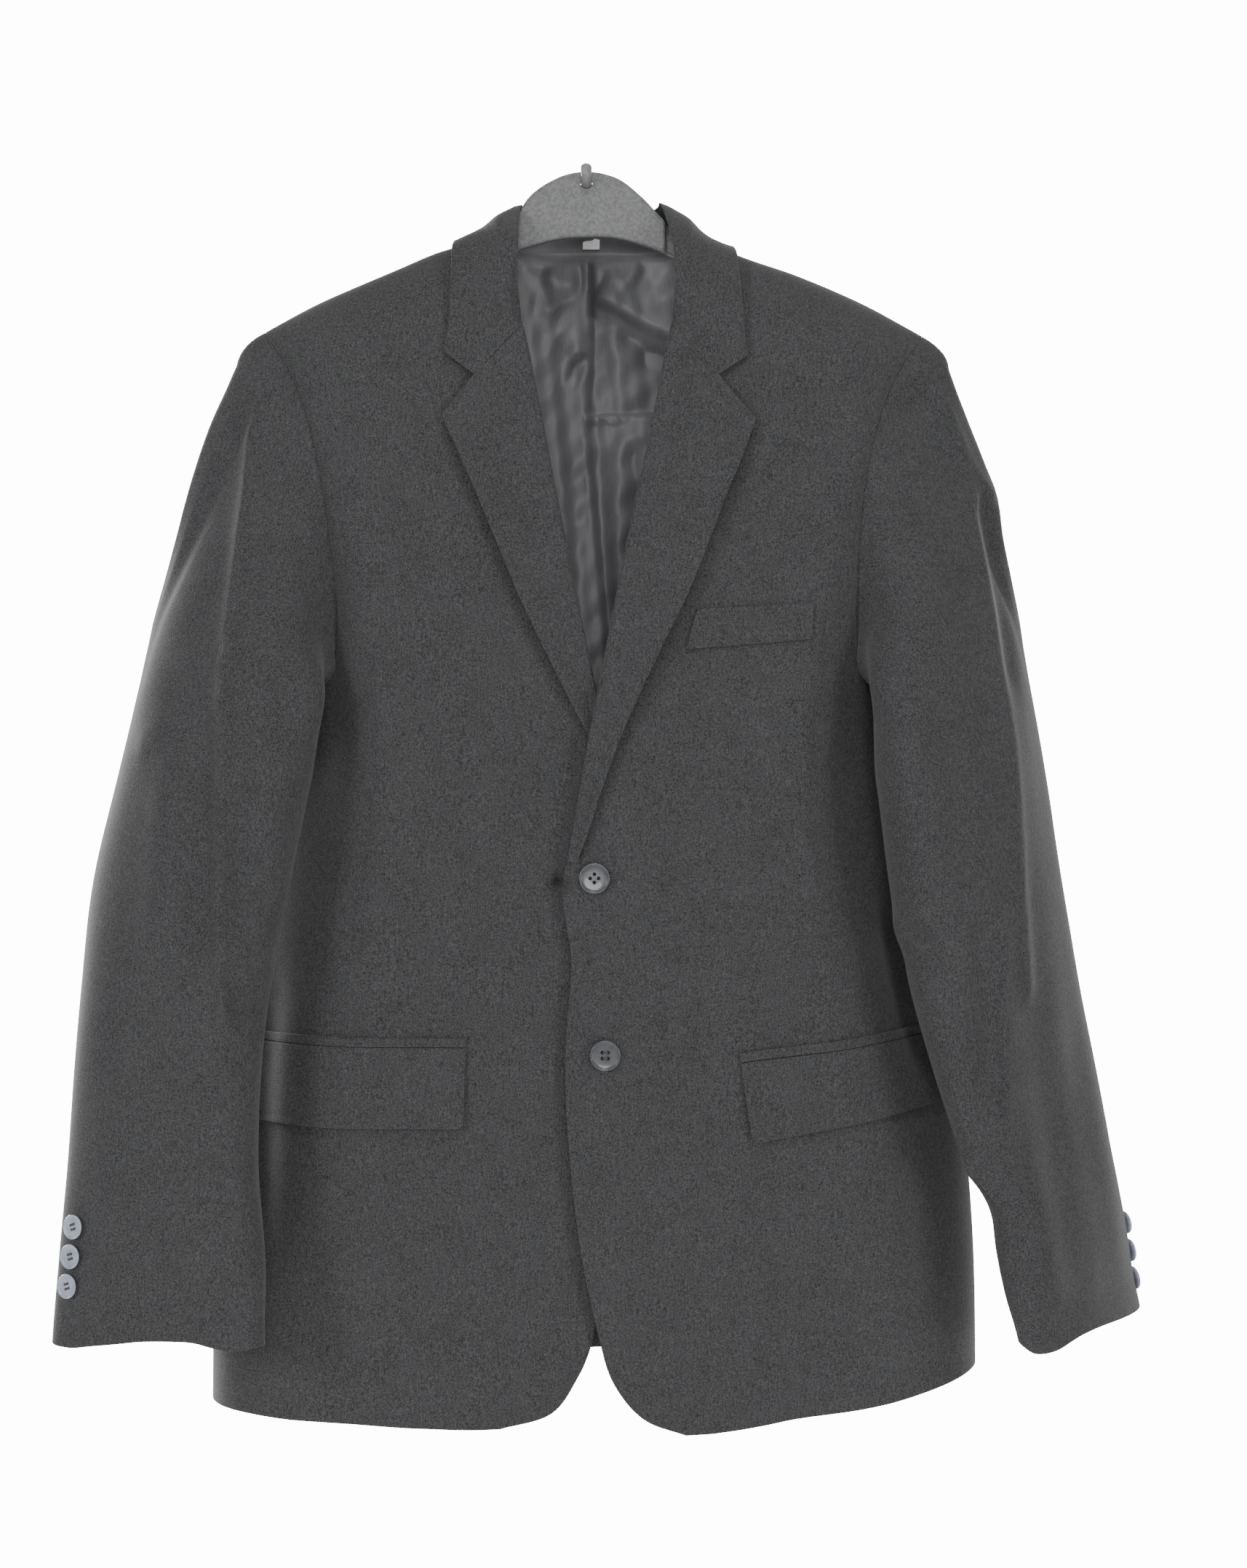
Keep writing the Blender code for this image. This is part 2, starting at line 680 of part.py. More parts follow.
def build_back(side):
    grid = back_grid(side, BACK_STOPS, BACK_COLUMNS)
    normals = grid_normals(grid, (0, 1, 0))
    for c, point in enumerate(grid[0]):
        if abs(point.x - CENTRE_X) >= BACK_NECK[-1].h:
            normals[0][c] = ridge_normal(side, abs(point.x - CENTRE_X))
    for r, row in enumerate(BACK_STOPS):
        normals[r][-1] = Vector((0, 1, 0))
        if row >= BACK_UNDERARM_ROW:
            normals[r][0] = Vector((SIDES[side], 0, 0))
    add_wall("back_" + side, grid, inset(grid, normals, CLOTH), "suit_cloth")
    return grid, normals


# ---------------------------------------------------------------- sleeves
Rim = namedtuple("Rim", "share point normal start")


def armhole_loop(side, front, back):
    """Points, body normals, ways into the hole and starts of the cap, round the armhole."""
    front_grid_points, front_normals = front
    back_grid_points, back_normals = back
    loop = []
    for r in range(FRONT_STOPS.index(UNDERARM_ROW) + 1):
        loop.append((front_grid_points[r][-1], front_normals[r][-1]))
    underarm = len(loop) - 1
    for r in range(BACK_STOPS.index(BACK_UNDERARM_ROW) - 1, 0, -1):
        loop.append((back_grid_points[r][0], back_normals[r][0]))
    points = [p for p, _ in loop]
    count = len(points)
    lengths = [(points[(i + 1) % count] - points[i]).length for i in range(count)]
    rim = []
    for i, (point, normal) in enumerate(loop):
        share = sum(lengths[:i]) / sum(lengths)
        tangent = points[(i + 1) % count] - points[i - 1]
        into = (normal.cross(tangent) * SIDES[side]).normalized()
        top = abs(2 * share - 1) ** 3
        beside, fade = (CAP_FRONT, 2) if i <= underarm else (CAP_BACK, 6)
        under = (1 - abs(2 * share - 1)) ** fade
        tilt, reach = (at_side + top * (at_top - at_side) + under * (at_under - at_side)
                       for at_top, at_side, at_under in zip(CAP_TOP, beside, CAP_UNDER))
        tilt = math.radians(tilt)
        rim.append(Rim(share, point + into * SEAM_GAP,
                       normal * math.cos(tilt) - into * math.sin(tilt),
                       (into * math.cos(tilt) + normal * math.sin(tilt)) * reach))
    return rim


def ring_place(side, z, share):
    """A point of the sleeve's section at height z; share 0 is the outer end, going by
    the front to the inner end at 0.5."""
    row = row_at(SLEEVE[side], "z", z)
    outer = Vector((row.out_x, row.out_y, 0))
    inner = Vector((row.in_x, row.in_y, 0))
    along = outer - inner
    half = along.length / 2
    along.normalize()
    across = Vector((along.y, -along.x, 0))
    if across.y > 0:
        across.negate()
    cosine = math.cos(2 * math.pi * share)
    sine = math.sin(2 * math.pi * share)
    reach = math.copysign(abs(cosine) ** (2 / SLEEVE_POWER), cosine) * half
    depth = math.copysign(abs(sine) ** (2 / SLEEVE_POWER), sine) * row.thick
    return (outer + inner) / 2 + along * reach + across * depth + Vector((0, 0, z))


def draw_in(side, point, share):
    """Moves a point of the sleeve's outer half in to the outline of the hanging sleeve."""
    trim = getattr(row_at(SLEEVE_TRIM, "z", point.z), side)
    point.x -= SIDES[side] * trim * (1 + math.cos(2 * math.pi * share)) / 2
    return point


def sleeve_grid(side, rim):
    """Rows of points round the sleeve from the armhole to the cuff, one a rim point."""
    count = len(rim)
    back_seam = count - BACK_SEAM_FROM_END
    top_columns = count - back_seam + FRONT_SEAM_COLUMN
    cuff_shares = [0.0] * count
    for k in range(top_columns + 1):
        share = mix(CUFF_BACK_SEAM - 1, CUFF_FRONT_SEAM, k / top_columns)
        cuff_shares[(back_seam + k) % count] = share
    for k in range(back_seam - FRONT_SEAM_COLUMN + 1):
        share = mix(CUFF_FRONT_SEAM, CUFF_BACK_SEAM, k / (back_seam - FRONT_SEAM_COLUMN))
        cuff_shares[FRONT_SEAM_COLUMN + k] = share
    cap_z, cuff_z = SLEEVE[side][0].z, SLEEVE[side][-1].z
    arm_shares = [r.share + CAP_SPREAD * math.sin(math.pi * r.share) ** 2 for r in rim]
    grid = []
    for r in range(CAP_ROWS):
        t = r / CAP_ROWS
        line = []
        for edge, share in zip(rim, arm_shares):
            end = ring_place(side, cap_z, share)
            run = (end - edge.point).length
            finish = (ring_place(side, cap_z - 10, share) - end).normalized() * run
            point = ((2 * t ** 3 - 3 * t ** 2 + 1) * edge.point
                     + (t ** 3 - 2 * t ** 2 + t) * run * edge.start
                     + (3 * t ** 2 - 2 * t ** 3) * end + (t ** 3 - t ** 2) * finish)
            line.append(draw_in(side, point, mix(edge.share, share, t)) if r else edge.point)
        grid.append(line)
    for r in range(ARM_ROWS + 1):
        t = r / ARM_ROWS
        z = mix(cap_z, cuff_z, t)
        slide = smooth(t / 0.7)
        line = []
        for arm, cuff in zip(arm_shares, cuff_shares):
            wanted = cuff + 1 if cuff - arm < -0.5 else cuff
            here = mix(arm, wanted, slide)
            line.append(draw_in(side, ring_place(side, z, here), here))
        grid.append(line)
    return grid


def ring_normals(grid, rim):
    """Outward normals of the sleeve's closed rows; the first row takes the rim's."""
    points = np.array([[tuple(p) for p in line] for line in grid])
    across = np.roll(points, -1, axis=1) - np.roll(points, 1, axis=1)
    normals = np.cross(across, np.gradient(points, axis=0))
    normals /= np.linalg.norm(normals, axis=2, keepdims=True)
    outward = points - points.mean(axis=1, keepdims=True)
    if (normals[1:] * outward[1:]).sum() < 0:
        normals = -normals
    turned = [[Vector(n) for n in line] for line in normals]
    turned[0] = [edge.normal for edge in rim]
    return turned


def build_sleeve(side, rim):
    grid = sleeve_grid(side, rim)
    normals = ring_normals(grid, rim)
    count = len(rim)
    back_seam = count - BACK_SEAM_FROM_END
    top = [(back_seam + k) % count for k in range(count - back_seam + FRONT_SEAM_COLUMN + 1)]
    under = list(range(FRONT_SEAM_COLUMN, back_seam + 1))
    for name, columns in (("top_sleeve_", top), ("under_sleeve_", under)):
        outer, turned = [], []
        for line, normal_line in zip(grid, normals):
            part = [line[c].copy() for c in columns]
            part[0] += (part[1] - part[0]).normalized() * SEAM_GAP * 0.7
            part[-1] += (part[-2] - part[-1]).normalized() * SEAM_GAP * 0.7
            outer.append(part)
            turned.append([normal_line[c] for c in columns])
        add_wall(name + side, outer, inset(outer, turned, CLOTH), "suit_cloth")


# ---------------------------------------------------------------- collar and lapels
def collar_section(side, s):
    """Loop of a section: up the stand, over the fold, down the fall and back below it."""
    row = row_at(COLLAR, "s", s)
    lean = row.lean * SIDES[side]
    ending = smooth(s - 7)

    def across(share, lift):
        h = mix(row.neck_h, row.edge_h, share) + lean
        drop = mix(row.neck_drop, row.edge_drop, share)
        if ending:
            end_h, end_z = across_notch(COLLAR_END[side], share)
            h = mix(h, end_h, ending)
            drop = mix(drop, shoulder_z(side, end_h) - end_z, ending)
        return body_place(side, h, drop, lift + RIDGE_ROOM * smooth(1 - abs(drop) / 24))

    fold = place(side, row.fold_h + lean, row.fold_y, row.fold_z)
    seam = across(0.0, LAY_GAP)
    rise = mix(COLLAR_RISE[side], 4.6, smooth((s - 5) / 3))
    over = across(0.0, rise)
    inboard = (seam - over).normalized()
    loop = [seam, mix(seam, fold, 0.55), fold + inboard * 0.8]
    loop.append(mix(fold, over, 0.35) + (fold - seam).normalized() * 0.5)
    shares = (0.0, 0.3, NOTCH_SHARE, 0.8, 1.0)
    lifts = [rise, mix(rise, 3.5, 0.6), 3.5, 3.2, LAPEL_LIFT]
    loop += [across(share, lift) for share, lift in zip(shares, lifts)]
    loop += [across(share, LAY_GAP + 0.2) for share in reversed(shares[1:])]
    return loop


def build_collar():
    stops = [8, 7.6, 7.2, 6.6, 6, 5.5, 5, 4.6, 4.3, 4, 3.6, 3.2, 2.7, 2.2, 1.6, 1.0, 0.5]
    left = [collar_section("left", s) for s in stops]
    right = [collar_section("right", s) for s in reversed(stops)]
    add_loft("collar", left + [collar_section("left", 0.0)] + right, "suit_cloth")


def lapel_hz(side, row, share):
    data = row_at(LAPEL[side], "row", row)
    h = mix(data.roll_h, data.edge_h, share)
    z = mix(data.roll_z, data.edge_z, share)
    fade = smooth(1 - row / LAPEL_NOTCH_FADE)
    if fade:
        first = LAPEL[side][0]
        end = COLLAR_END[side]
        hat = min(share / NOTCH_SHARE, (1 - share) / (1 - NOTCH_SHARE)) * fade
        h += hat * (end.notch_h - mix(first.roll_h, first.edge_h, NOTCH_SHARE))
        z += hat * (end.notch_z - GORGE_GAP - mix(first.roll_z, first.edge_z, NOTCH_SHARE))
    return h, z


def build_lapel(side):
    shares = (0.0, 0.2, 0.4, NOTCH_SHARE, 0.8, 1.0)
    lifts = (3.2, 4.0, 4.0, 3.6, 3.2, 2.8)
    sections = []
    for k in range(21):
        row = 9 * (k / 20) ** 1.15
        loop = []
        roll_h, roll_z = lapel_hz(side, row, 0.0)
        loop.append(front_place(side, roll_h - 1.4, roll_z, 1.9))
        width = abs(row_at(LAPEL[side], "row", row).edge_h - roll_h)
        thin = smooth(width / 20)
        for share, lift in zip(shares, lifts):
            h, z = lapel_hz(side, row, share)
            loop.append(front_place(side, h, z, mix(2.8, lift, thin)))
        for share in reversed(shares):
            h, z = lapel_hz(side, row, share)
            loop.append(front_place(side, h, z, LAY_GAP))
        sections.append(loop)
    add_loft("lapel_" + side, sections, "suit_cloth")


# ---------------------------------------------------------------- flat trims
def patch_hz(patch, across, down, corner=0.0):
    top_h, top_z = (mix(a, b, across) for a, b in zip(patch.top_in, patch.top_out))
    low_h, low_z = (mix(a, b, across) for a, b in zip(patch.low_in, patch.low_out))
    h, z = mix(top_h, low_h, down), mix(top_z, low_z, down)
    if corner:
        inward = h - mix(patch.top_in[0], patch.low_in[0], down)
        above = z - low_z
        dx, dz = corner - inward, corner - above
        if dx > 0 and dz > 0:
            reach = math.hypot(dx, dz)
            if reach > corner:
                h += dx * (1 - corner / reach)
                z += dz * (1 - corner / reach)
    return h, z


def build_patch(name, patch):
    corner = FLAP_CORNER if name.startswith("flap") else 0.0
    outer, inner = [], []
    for r in range(patch.rows + 1):
        down = 1 - (1 - r / patch.rows) ** 1.5 if corner else r / patch.rows
        spots = []
        for c in range(patch.columns + 1):
            across = (c / patch.columns) ** 1.4 if corner else c / patch.columns
            spots.append(patch_hz(patch, across, down, corner))
        outer.append([front_place(patch.side, h, z, patch.lift) for h, z in spots])
        inner.append([front_place(patch.side, h, z, LAY_GAP + 0.2) for h, z in spots])
    add_wall(name, outer, inner, "suit_cloth")


# ---------------------------------------------------------------- lining and label
def build_lining():
    """The back's lining: inside the back wall, with its centre pleat."""
    halves = {side: back_grid(side, LINING_STOPS, BACK_COLUMNS[1:]) for side in SIDES}
    grid = [left + list(reversed(right))
            for left, right in zip(halves["left"], halves["right"])]
    normals = grid_normals(grid, (0, 1, 0))
    pleat = len(BACK_COLUMNS) - 2
    for line in normals:
        line[pleat] = line[pleat + 1] = Vector((0, 1, 0))
    outer = inset(grid, normals, CLOTH + LINING_GAP)
    for line in outer:
        line[pleat].y -= PLEAT_DEPTH
        line[pleat - 1].y -= PLEAT_DEPTH * 0.8
    add_wall("back_lining", outer, inset(outer, normals, LINING), "lining_satin")


def build_label():
    """A bare tape label on the collar stand at the centre back."""
    width, height, thick = 11.6, 16.0, 0.6
    low_z, face_y, x = -34.0, -18.6, 2.5
    outer, inner = [], []
    for r in range(3):
        z = low_z + height * (1 - r / 2)
        outer.append([Vector((x + width * (c / 2 - 0.5), face_y, z)) for c in range(3)])
        inner.append([Vector((x + width * (c / 2 - 0.5), face_y + thick, z)) for c in range(3)])
    add_wall("neck_label", outer, inner, "label_tape")


# ---------------------------------------------------------------- hanger and hook
def oval(x, y, top, low, depth, power, count=14):
    loop = []
    for i in range(count):
        angle = 2 * math.pi * (i + 0.5) / count
        c, s = math.cos(angle), math.sin(angle)
        reach = math.copysign(abs(c) ** (2 / power), c) * depth
        rise = math.copysign(abs(s) ** (2 / power), s) * (top - low) / 2
        loop.append(Vector((x, y + reach, (top + low) / 2 + rise)))
    return loop


def hanger_arm(side):
    sections = []
    for arm in HANGER_ARM:
        top = shoulder_z(side, arm.h) - HANGER_CLEARANCE
        x = CENTRE_X + SIDES[side] * arm.h
        sections.append(oval(x, RIDGE_Y, top, top - arm.height, arm.depth, 2.2))
    return sections


def build_hanger():
    web = []
    first, last = HANGER_WEB[0].x, HANGER_WEB[-1].x
    steps = 16
    for k in range(steps + 1):
        row = row_at(HANGER_WEB, "x", mix(first, last, k / steps))
        web.append(oval(row.x, HANGER_Y, row.top, row.low, row.depth, row.power))
    sections = list(reversed(hanger_arm("right"))) + web + hanger_arm("left")
    hanger = add_loft("hanger", sections, "hanger_plastic")
    cutter = add_loft("hole_cutter", [circle((0, y, HOOK_ROD + SEAM_GAP - HANGER_HOLE), HANGER_HOLE,
                                             (0, 1, 0), 20)
                                      for y in (HANGER_Y - 15, HANGER_Y + 15)], "hanger_plastic")
    cut_with(hanger, cutter)


def cut_with(thing, cutter):
    cutter.hide_render = True
    cutter.display_type = "WIRE"
    cut = thing.modifiers.new("cut", "BOOLEAN")
    cut.operation = "DIFFERENCE"
    cut.solver = "EXACT"
    cut.object = cutter


def circle(centre, radius, axis, count):
    turn = Vector((0, 0, 1)).rotation_difference(Vector(axis).normalized()).to_matrix()
    return [Vector(centre) + turn @ Vector((radius * math.cos(2 * math.pi * i / count),
                                            radius * math.sin(2 * math.pi * i / count), 0))
            for i in range(count)]


def build_hook():
    """Wall plate, rod and the upturned end as one turned and bent bar."""
    back = (0, -1, 0)
    count = 18
    sections = [
        circle((0, 0, 0), HOOK_PLATE, back, count),
        circle((0, 0.8 - HOOK_PLATE_DEPTH, 0), HOOK_PLATE, back, count),
        circle((0, -HOOK_PLATE_DEPTH, 0), HOOK_PLATE - 1.2, back, count),
        circle((0, -HOOK_PLATE_DEPTH - 0.2, 0), HOOK_ROD + 1.6, back, count),
        circle((0, -HOOK_PLATE_DEPTH - 2.5, 0), HOOK_ROD, back, count),
        circle((0, -HOOK_REACH, 0), HOOK_ROD, back, count),
    ]
    for k in range(1, 7):
        angle = math.pi / 2 * k / 6
        centre = (0, -HOOK_REACH - HOOK_BEND * math.sin(angle), HOOK_BEND * (1 - math.cos(angle)))
        sections.append(circle(centre, HOOK_ROD, (0, -math.cos(angle), math.sin(angle)), count))
    tip_y = -HOOK_REACH - HOOK_BEND
    tip_round = 2.6
    for k in range(4):
        angle = math.pi / 2 * k / 3.4
        radius = HOOK_ROD - tip_round * (1 - math.cos(angle))
        z = HOOK_TIP_Z - tip_round * (1 - math.sin(angle))
        sections.append(circle((0, tip_y, z), radius, (0, 0, 1), count))
    add_loft("wall_hook", sections, "hook_plastic")


# ---------------------------------------------------------------- buttons
Turned = namedtuple("Turned", "radius height")     # shares of the button's radius
BUTTON_PROFILE = [
    Turned(0.72, 0.00),
    Turned(0.93, 0.06),
    Turned(1.00, 0.16),
    Turned(0.97, 0.27),
    Turned(0.88, 0.31),
    Turned(0.78, 0.25),
    Turned(0.70, 0.19),
]
BUTTON_HOLE = 0.105
BUTTON_HOLE_REACH = 0.21


def build_button(name, seat, normal, diameter, count, hole_count):
    """A turned four-hole button whose back lies on `seat`, facing along `normal`."""
    radius = diameter / 2
    turn = Vector((0, 0, 1)).rotation_difference(normal).to_matrix().to_4x4()
    turn = Matrix.Translation(seat) @ turn
    sections = [circle((0, 0, t.height * radius), t.radius * radius, (0, 0, 1), count)
                for t in BUTTON_PROFILE]
    button = add_loft(name, [[turn @ p for p in loop] for loop in sections], "button_resin", 30.0)
    points, faces = [], []
    for k in range(4):
        angle = math.pi / 2 * k + math.radians(20)
        centre = (BUTTON_HOLE_REACH * radius * math.cos(angle),
                  BUTTON_HOLE_REACH * radius * math.sin(angle))
        base = len(points)
        for height in (-radius, radius):
            points += [turn @ p for p in circle((*centre, height), BUTTON_HOLE * radius,
                                                (0, 0, 1), hole_count)]
        for i in range(hole_count):
            j = (i + 1) % hole_count
            faces.append((base + i, base + j, base + hole_count + j, base + hole_count + i))
        faces.append(tuple(base + i for i in reversed(range(hole_count))))
        faces.append(tuple(base + hole_count + i for i in range(hole_count)))
    cutter = add_object(name + "_cutter", points, faces, "button_resin")
    cut_with(button, cutter)


def build_buttons():
    for spot in FRONT_BUTTONS:
        surface = front_place(spot.side, spot.h, spot.z)
        seat = front_place(spot.side, spot.h, spot.z, LAY_GAP)
        build_button(spot.name, seat, (seat - surface).normalized(), FRONT_BUTTON, 24, 8)
    for number, spot in enumerate(CUFF_BUTTONS):
        surface, around, down = (
            draw_in(spot.side, ring_place(spot.side, spot.z - drop, spot.share + turn),
                    spot.share + turn) for drop, turn in ((0, 0), (0, 0.01), (5, 0)))
        normal = (around - surface).cross(down - surface).normalized()
        if normal.dot(surface - ring_place(spot.side, spot.z, 0.5)) < 0:
            normal.negate()
        name = "cuff_button_{}_{}".format(spot.side, number % 3 + 1)
        build_button(name, surface + normal * LAY_GAP, normal, CUFF_BUTTON, 14, 5)


# ---------------------------------------------------------------- the whole part
def clear_scene():
    for thing in list(bpy.data.objects):
        bpy.data.objects.remove(thing, do_unlink=True)


def main():
    clear_scene()
    for side in SIDES:
        front = build_front(side)
        back = build_back(side)
        build_sleeve(side, armhole_loop(side, front, back))
        build_lapel(side)
    build_collar()
    for name, patch in PATCHES.items():
        build_patch(name, patch)
    build_lining()
    build_label()
    build_hanger()
    build_hook()
    build_buttons()


main()
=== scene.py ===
import math
from collections import namedtuple

import bmesh
import bpy
import numpy as np
from bpy.props import FloatProperty, FloatVectorProperty, PointerProperty
from mathutils import Matrix, Vector


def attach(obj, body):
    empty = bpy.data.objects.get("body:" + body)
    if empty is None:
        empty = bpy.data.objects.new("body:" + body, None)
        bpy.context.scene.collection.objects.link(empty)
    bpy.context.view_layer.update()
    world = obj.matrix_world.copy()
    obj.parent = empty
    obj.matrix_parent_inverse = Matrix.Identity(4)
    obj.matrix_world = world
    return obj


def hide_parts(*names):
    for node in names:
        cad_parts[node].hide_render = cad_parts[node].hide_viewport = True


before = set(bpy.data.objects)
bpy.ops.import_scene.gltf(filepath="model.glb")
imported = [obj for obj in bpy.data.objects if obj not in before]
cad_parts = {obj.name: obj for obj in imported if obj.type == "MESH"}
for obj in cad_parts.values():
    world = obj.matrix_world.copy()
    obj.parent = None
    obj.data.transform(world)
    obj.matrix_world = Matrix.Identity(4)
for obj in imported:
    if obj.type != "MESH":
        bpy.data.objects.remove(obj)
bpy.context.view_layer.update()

bl_info = {
    "name": "Suit Jacket on Hanger",
    "version": (1, 0, 0),
    "blender": (4, 5, 0),
    "location": "3D View > Sidebar > Jacket",
    "description": "Dresses the jacket, its hanger and its wall hook, piece by piece",
    "category": "Object",
}

MM = 0.001
SIDES = {"left": 1.0, "right": -1.0}

# ---------------------------------------------------------------- driving sizes
CENTRE_X = 5.0            # the jacket's centre line, beside the hook
SEAM_GAP = 0.3            # between pieces that are sewn together
LAY_GAP = 0.6             # under a piece that lies on another
ALLOWANCE = 1.4           # cloth turned in below the piece that it is sewn to
ALLOWANCE_ROOM = 0.5      # between the two
LINING = 0.9              # thickness of the lining
LABEL = 0.5               # thickness of the neck label
LINING_GAP = 1.8          # between the back and its lining
RIDGE_Y = -62.0           # depth of the shoulder line
SHOULDER_ROLL_FRONT = 52.0      # drop in which the shoulder turns to the front
SHOULDER_ROLL_BACK = 60.0       # and to the back
BACK_FLANK = 80.0         # width in which the back turns to its side
BACK_POWER = 1.7          # how squarely it turns
OVERLAP_LIFT = 8.0        # the left front stands out where it laps the right one
OVERLAP_START = 92.0      # from here inwards
OVERLAP_FULL = 20.0       # and wholly from here
FLAP_LIFT = 2.8
FRONT_BUTTON = 20.0       # diameter
CUFF_BUTTON = 15.5
HANGER_Y = -64.0          # middle of the hanger's web
HANGER_HOLE = 4.0         # radius
HOOK_ROD = 3.7            # radius
HOOK_PLATE = 13.0         # radius
HOOK_PLATE_DEPTH = 3.0
HOOK_REACH = 68.0         # from the wall to the bend
HOOK_BEND = 5.5           # radius
HOOK_TIP_Z = 10.8
PHOTO_SIZE = (1714, 2156)
PHOTO_CENTRE = (24.8, -401.9)    # where the middle of the picture looks, in mm
PIXEL = 0.475                    # mm a picture pixel at the front's depth
FRONT_DEPTH = -100.0
CAMERA_DISTANCE = 1400.0         # from the front


# ---------------------------------------------------------------- tables
def rows_of(kind, text):
    """A table's rows, one a line, in the order of the fields of their kind."""
    return [kind(*map(float, line.split())) for line in text.strip().splitlines()]


Body = namedtuple("Body", "z half side_y front_y back_y flank power")
BODY = rows_of(Body, """
40 262 -60 -84 -16 90 1.2
-105 262 -58 -95 -14 90 1.2
-200 252 -50 -100 -12 90 1.2
-350 225 -38 -103 -12 86 1.15
-400 225 -37 -104 -12 86 1.15
-480 233 -38 -105 -11 88 1.25
-560 244 -40 -104 -10 88 1.4
-640 252 -43 -102 -9 80 1.6
-720 257 -46 -99 -8 70 1.8
-840 258 -48 -97 -8 65 1.9
""")
Shoulder = namedtuple("Shoulder", "h left right")
SHOULDER = rows_of(Shoulder, """
0 22 22
30 6 6
55 -22 -21
70 -34.5 -33.5
82 -41 -38.5
94 -46.6 -42.5
107 -51.5 -46.7
132 -60 -57.5
159 -71 -69
185 -83 -80.5
208 -95.3 -92.3
222 -103 -100
234 -110 -107
""")

# Each row joins a point on the outer edge (armhole, then side seam) to one on the
# inner edge (neck, roll line, then front edge).  The rows of the side seam take their
# outer h from BODY.
UNDERARM_ROW = 12
Front = namedtuple("Front", "row out_h out_z in_h in_z")
FRONT = {"left": rows_of(Front, """
0 220 -102 62 -29.5
1 208.6 -119 59.5 -48
2 198.4 -138 56 -72
3 189.9 -160 51.5 -101
4 183.2 -187 45.5 -135
5 179 -213 37.5 -175
6 176.3 -242 29 -216
7 175.2 -268 20.5 -258
8 175.1 -294 12 -302
9 178 -320 3 -346
10 187 -337 -4 -383
11 203 -349 -9.3 -412
12 241 -353 -15 -445
13 241 -400 -20.2 -470
14 241 -440 -16.9 -495
15 244 -490 -14 -520
16 248 -540 -17.5 -565
17 251 -590 -17.5 -612
18 254 -640 -13.2 -665
19 256 -690 -6.5 -716
20 257 -730 2.5 -757
21 257 -758 12.2 -790.5
22 257 -778 32.3 -815.5
23 257 -792.5 60.7 -828
"""), "right": rows_of(Front, """
0 220 -99.5 62 -28.5
1 208.6 -118 57.5 -47
2 198 -138 52 -71
3 189.8 -160 46.5 -101
4 183.6 -187 39.5 -135
5 179 -213 32.5 -172
6 175.6 -242 25 -212
7 173.3 -268 17 -252
8 172.2 -294 7.5 -300
9 175.2 -320 -2.5 -345
10 185 -337 -9 -378
11 202 -349 -14.5 -412
12 241 -353 -18.5 -443
13 241 -400 -21 -470
14 241 -445 -21.5 -497
15 244 -500 -22 -525
16 248 -552 -22.5 -565
17 251 -604 -22 -612
18 254 -655 -18.5 -660
19 256 -705 -11 -708
20 257 -746 -2 -750
20.5 257 -762.5 1.1 -769.1
21 257 -778 9 -789
22 257 -800 27.3 -814.5
23 257 -816 61 -824.5
""")}
Hem = namedtuple("Hem", "h left right")
HEM = rows_of(Hem, """
55 -825 -822
80 -824.3 -823
110 -819.5 -822
132 -815 -821.3
183 -807.5 -818.5
230 -797 -816.3
258 -790 -816
""")

BACK_UNDERARM_ROW = 10
BACK_TOP_LIFT = {"left": 0.0, "right": 2.5}      # up to the front's shoulder seam
Back = namedtuple("Back", "row out_h out_z in_z")
BACK_UPPER = rows_of(Back, """
0 220 -102 -29
1 210 -122 -52
2 203 -145 -85
3 198 -170 -115
4 195 -200 -150
5 194 -230 -187
6 194 -262 -224
7 197 -295 -262
8 202 -323 -300
9 211 -344 -335
10 241 -353 -370
11 241 -400 -415
12 242 -450 -460
13 245 -510 -518
14 249 -570 -576
15 253 -630 -635
""")
BACK = {"left": BACK_UPPER + rows_of(Back, """
16 256 -690 -692
17 257 -742 -746
18 257 -790 -793.5
"""), "right": BACK_UPPER + rows_of(Back, """
16 256 -695 -692
17 257 -756 -746
18 257 -816 -793.5
""")}
Neck = namedtuple("Neck", "h z")
BACK_NECK = rows_of(Neck, """
0 -29
30 -28.4
50 -28.4
62 -29
""")

# Sleeve sections are ovals between an outer and an inner end; `thick` is half the depth.
Sleeve = namedtuple("Sleeve", "z out_x out_y in_x in_y thick")
SLEEVE = {"left": rows_of(Sleeve, """
-400 311.3 -46 193.3 -126 33
-480 324.2 -46 203.8 -129 33
-560 339.2 -46 222 -132 30
-640 353.8 -47 244.5 -136 26
-672 360 -47.5 262.5 -137 24
-700 365.7 -48 268 -138 22
-740 370.7 -50 274.5 -140 19
-760 373.6 -50 279 -140 18
"""), "right": rows_of(Sleeve, """
-400 -312.4 -72 -180 -124 36
-480 -327.3 -84 -192.6 -129 34
-560 -332.7 -96 -204.4 -134 31
-640 -335.6 -108 -208.7 -140 27
-700 -339.3 -116 -204.8 -144 22
-740 -341 -121 -203 -147 19
-760 -341.7 -124 -201.8 -148 18
""")}
